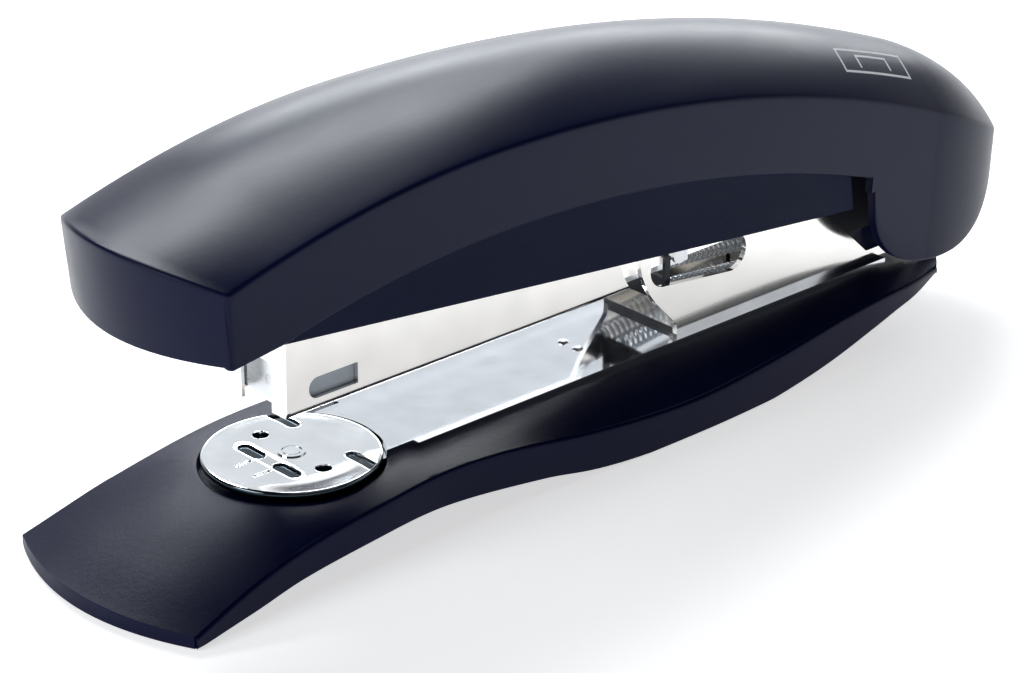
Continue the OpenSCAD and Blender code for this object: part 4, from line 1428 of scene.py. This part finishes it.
@dataclass
class Studio:
    """Camera, floor and soft light."""

    camera_at: tuple = (-0.3680, -0.3908, 0.2610)
    azimuth: float = -42.3
    elevation: float = 24.7
    lens: float = 123.4

    def camera(self) -> None:
        """Makes the camera, which looks down along its own azimuth and elevation."""
        data = bpy.data.cameras.new("camera")
        data.lens, data.sensor_width = self.lens, 36.0
        data.clip_start, data.clip_end = 0.01, 50.0
        obj = bpy.data.objects.new("camera", data)
        a, e = math.radians(self.azimuth), math.radians(self.elevation)
        look = Vector((-math.sin(a) * math.cos(e), math.cos(a) * math.cos(e), -math.sin(e)))
        obj.location = self.camera_at
        obj.rotation_mode = "QUATERNION"
        obj.rotation_quaternion = look.to_track_quat("-Z", "Y")
        bpy.context.scene.collection.objects.link(obj)
        bpy.context.scene.camera = obj

    def floor(self) -> None:
        """Makes a large pale floor that glows a little, so that it lights the object from below."""
        x = np.linspace(-4, 4, 3)
        gx, gy = np.meshgrid(x, x, indexing="ij")
        mesh = bpy.data.meshes.new("floor")
        points = np.stack([gx, gy, np.full_like(gx, -0.00005)], -1).reshape(-1, 3)
        mesh.from_pydata(points.tolist(), [], grid_faces(3, 3, flip=True).tolist())
        obj = bpy.data.objects.new("floor", mesh)
        bpy.context.scene.collection.objects.link(obj)
        t = NodeTree("pale floor")
        t.shader.inputs["Base Color"].default_value = (0.85, 0.85, 0.85, 1)
        t.shader.inputs["Roughness"].default_value = 0.9
        t.shader.inputs["Specular IOR Level"].default_value = 0.1
        t.shader.inputs["Emission Color"].default_value = (1, 1, 1, 1)
        t.shader.inputs["Emission Strength"].default_value = 0.62
        dress(obj, t.material)

    def softbox(
        self, name: str, toward: tuple, distance: float, size: tuple, power: float, only: tuple = ()
    ) -> None:
        """Adds a rectangular soft light that faces the object.

        Args:
            name: The light's name.
            toward: Direction from the object to the light.
            distance: Metres from the object.
            size: Width and height in metres.
            power: Watts.
            only: Pieces that it lights, or none for all of them.
        """
        data = bpy.data.lights.new(name, "AREA")
        data.shape = "RECTANGLE"
        data.size, data.size_y = size
        data.energy = power
        data.color = (0.93, 0.97, 1.0)
        obj = bpy.data.objects.new(name, data)
        d = Vector(toward).normalized()
        obj.location = d * distance + Vector((0, 0, 0.03))
        obj.rotation_mode = "QUATERNION"
        obj.rotation_quaternion = (-d).to_track_quat("-Z", "Y")
        bpy.context.scene.collection.objects.link(obj)
        if only:
            group = bpy.data.collections.new(name)
            for piece in only:
                group.objects.link(piece)
            obj.light_linking.receiver_collection = group

    def world(self) -> None:
        """Makes the surroundings: bright near the horizon, dim overhead, white where the camera looks."""
        world = bpy.data.worlds.new("studio")
        bpy.context.scene.world = world
        world.use_nodes = True
        nodes, links = world.node_tree.nodes, world.node_tree.links
        back = nodes["Background"]
        coords = nodes.new("ShaderNodeTexCoord")
        split = nodes.new("ShaderNodeSeparateXYZ")
        ramp = nodes.new("ShaderNodeValToRGB")
        links.new(coords.outputs["Generated"], split.inputs[0])
        links.new(split.outputs["Z"], ramp.inputs[0])
        stops = ramp.color_ramp.elements
        stops[0].position, stops[0].color = 0.0, (0.85, 0.86, 0.88, 1)
        stops[1].position, stops[1].color = 0.36, (0.035, 0.037, 0.042, 1)
        e = stops.new(0.14)
        e.color = (0.60, 0.61, 0.63, 1)
        path = nodes.new("ShaderNodeLightPath")
        mix = nodes.new("ShaderNodeMix")
        mix.data_type = "RGBA"
        links.new(path.outputs["Is Camera Ray"], mix.inputs["Factor"])
        links.new(ramp.outputs[0], mix.inputs["A"])
        mix.inputs["B"].default_value = (1, 1, 1, 1)
        links.new(mix.outputs["Result"], back.inputs["Color"])

    def build(self) -> None:
        """Makes the camera, the floor, the surroundings and the lights."""
        self.camera()
        self.floor()
        self.world()
        self.softbox("far high softbox", (0.34, 0.62, 0.68), 1.6, (1.1, 0.5), 29.0)
        self.softbox("far low softbox", (0.74, 0.66, 0.26), 1.6, (1.3, 0.34), 12.0)
        self.softbox("left softbox", (-0.9, 0.15, 0.5), 1.5, (0.8, 0.8), 9.0)
        bright = tuple(o for o in bpy.data.objects if o.type == "MESH" and _is_metal(o))
        self.softbox("far card", (0.61, 0.67, 0.45), 1.5, (2.4, 0.95), 5.8, bright)
        self.softbox("top card", (0.0, 0.05, 1.0), 1.4, (1.2, 1.2), 2.4, bright)
        self.softbox("right card", (0.8, -0.5, 0.4), 1.5, (1.2, 0.7), 1.6, bright)
        bpy.context.scene.view_settings.view_transform = "Standard"
        LOG.info("studio ready")


def _is_metal(obj: bpy.types.Object) -> bool:
    """True where a piece's finish is bare or plated metal.

    Args:
        obj: The piece.

    Returns:
        Whether its shader is metallic.
    """
    for s in obj.material_slots:
        if s.material and s.material.use_nodes:
            node = s.material.node_tree.nodes.get("Principled BSDF")
            if node and node.inputs["Metallic"].default_value > 0.5:
                return True
    return False


def main() -> None:
    """Builds the classes in order."""
    finishes = Finishes()
    dress_frame(finishes)
    cover = Cover()
    cover.build(finishes)
    Badge(cover).build(finishes)
    Skirt(cover).build(finishes)
    BaseMoulding().build(finishes)
    AnvilDisc().build(finishes)
    Springs().build(finishes)
    Studio().build()


if __name__ == "__main__":
    main()
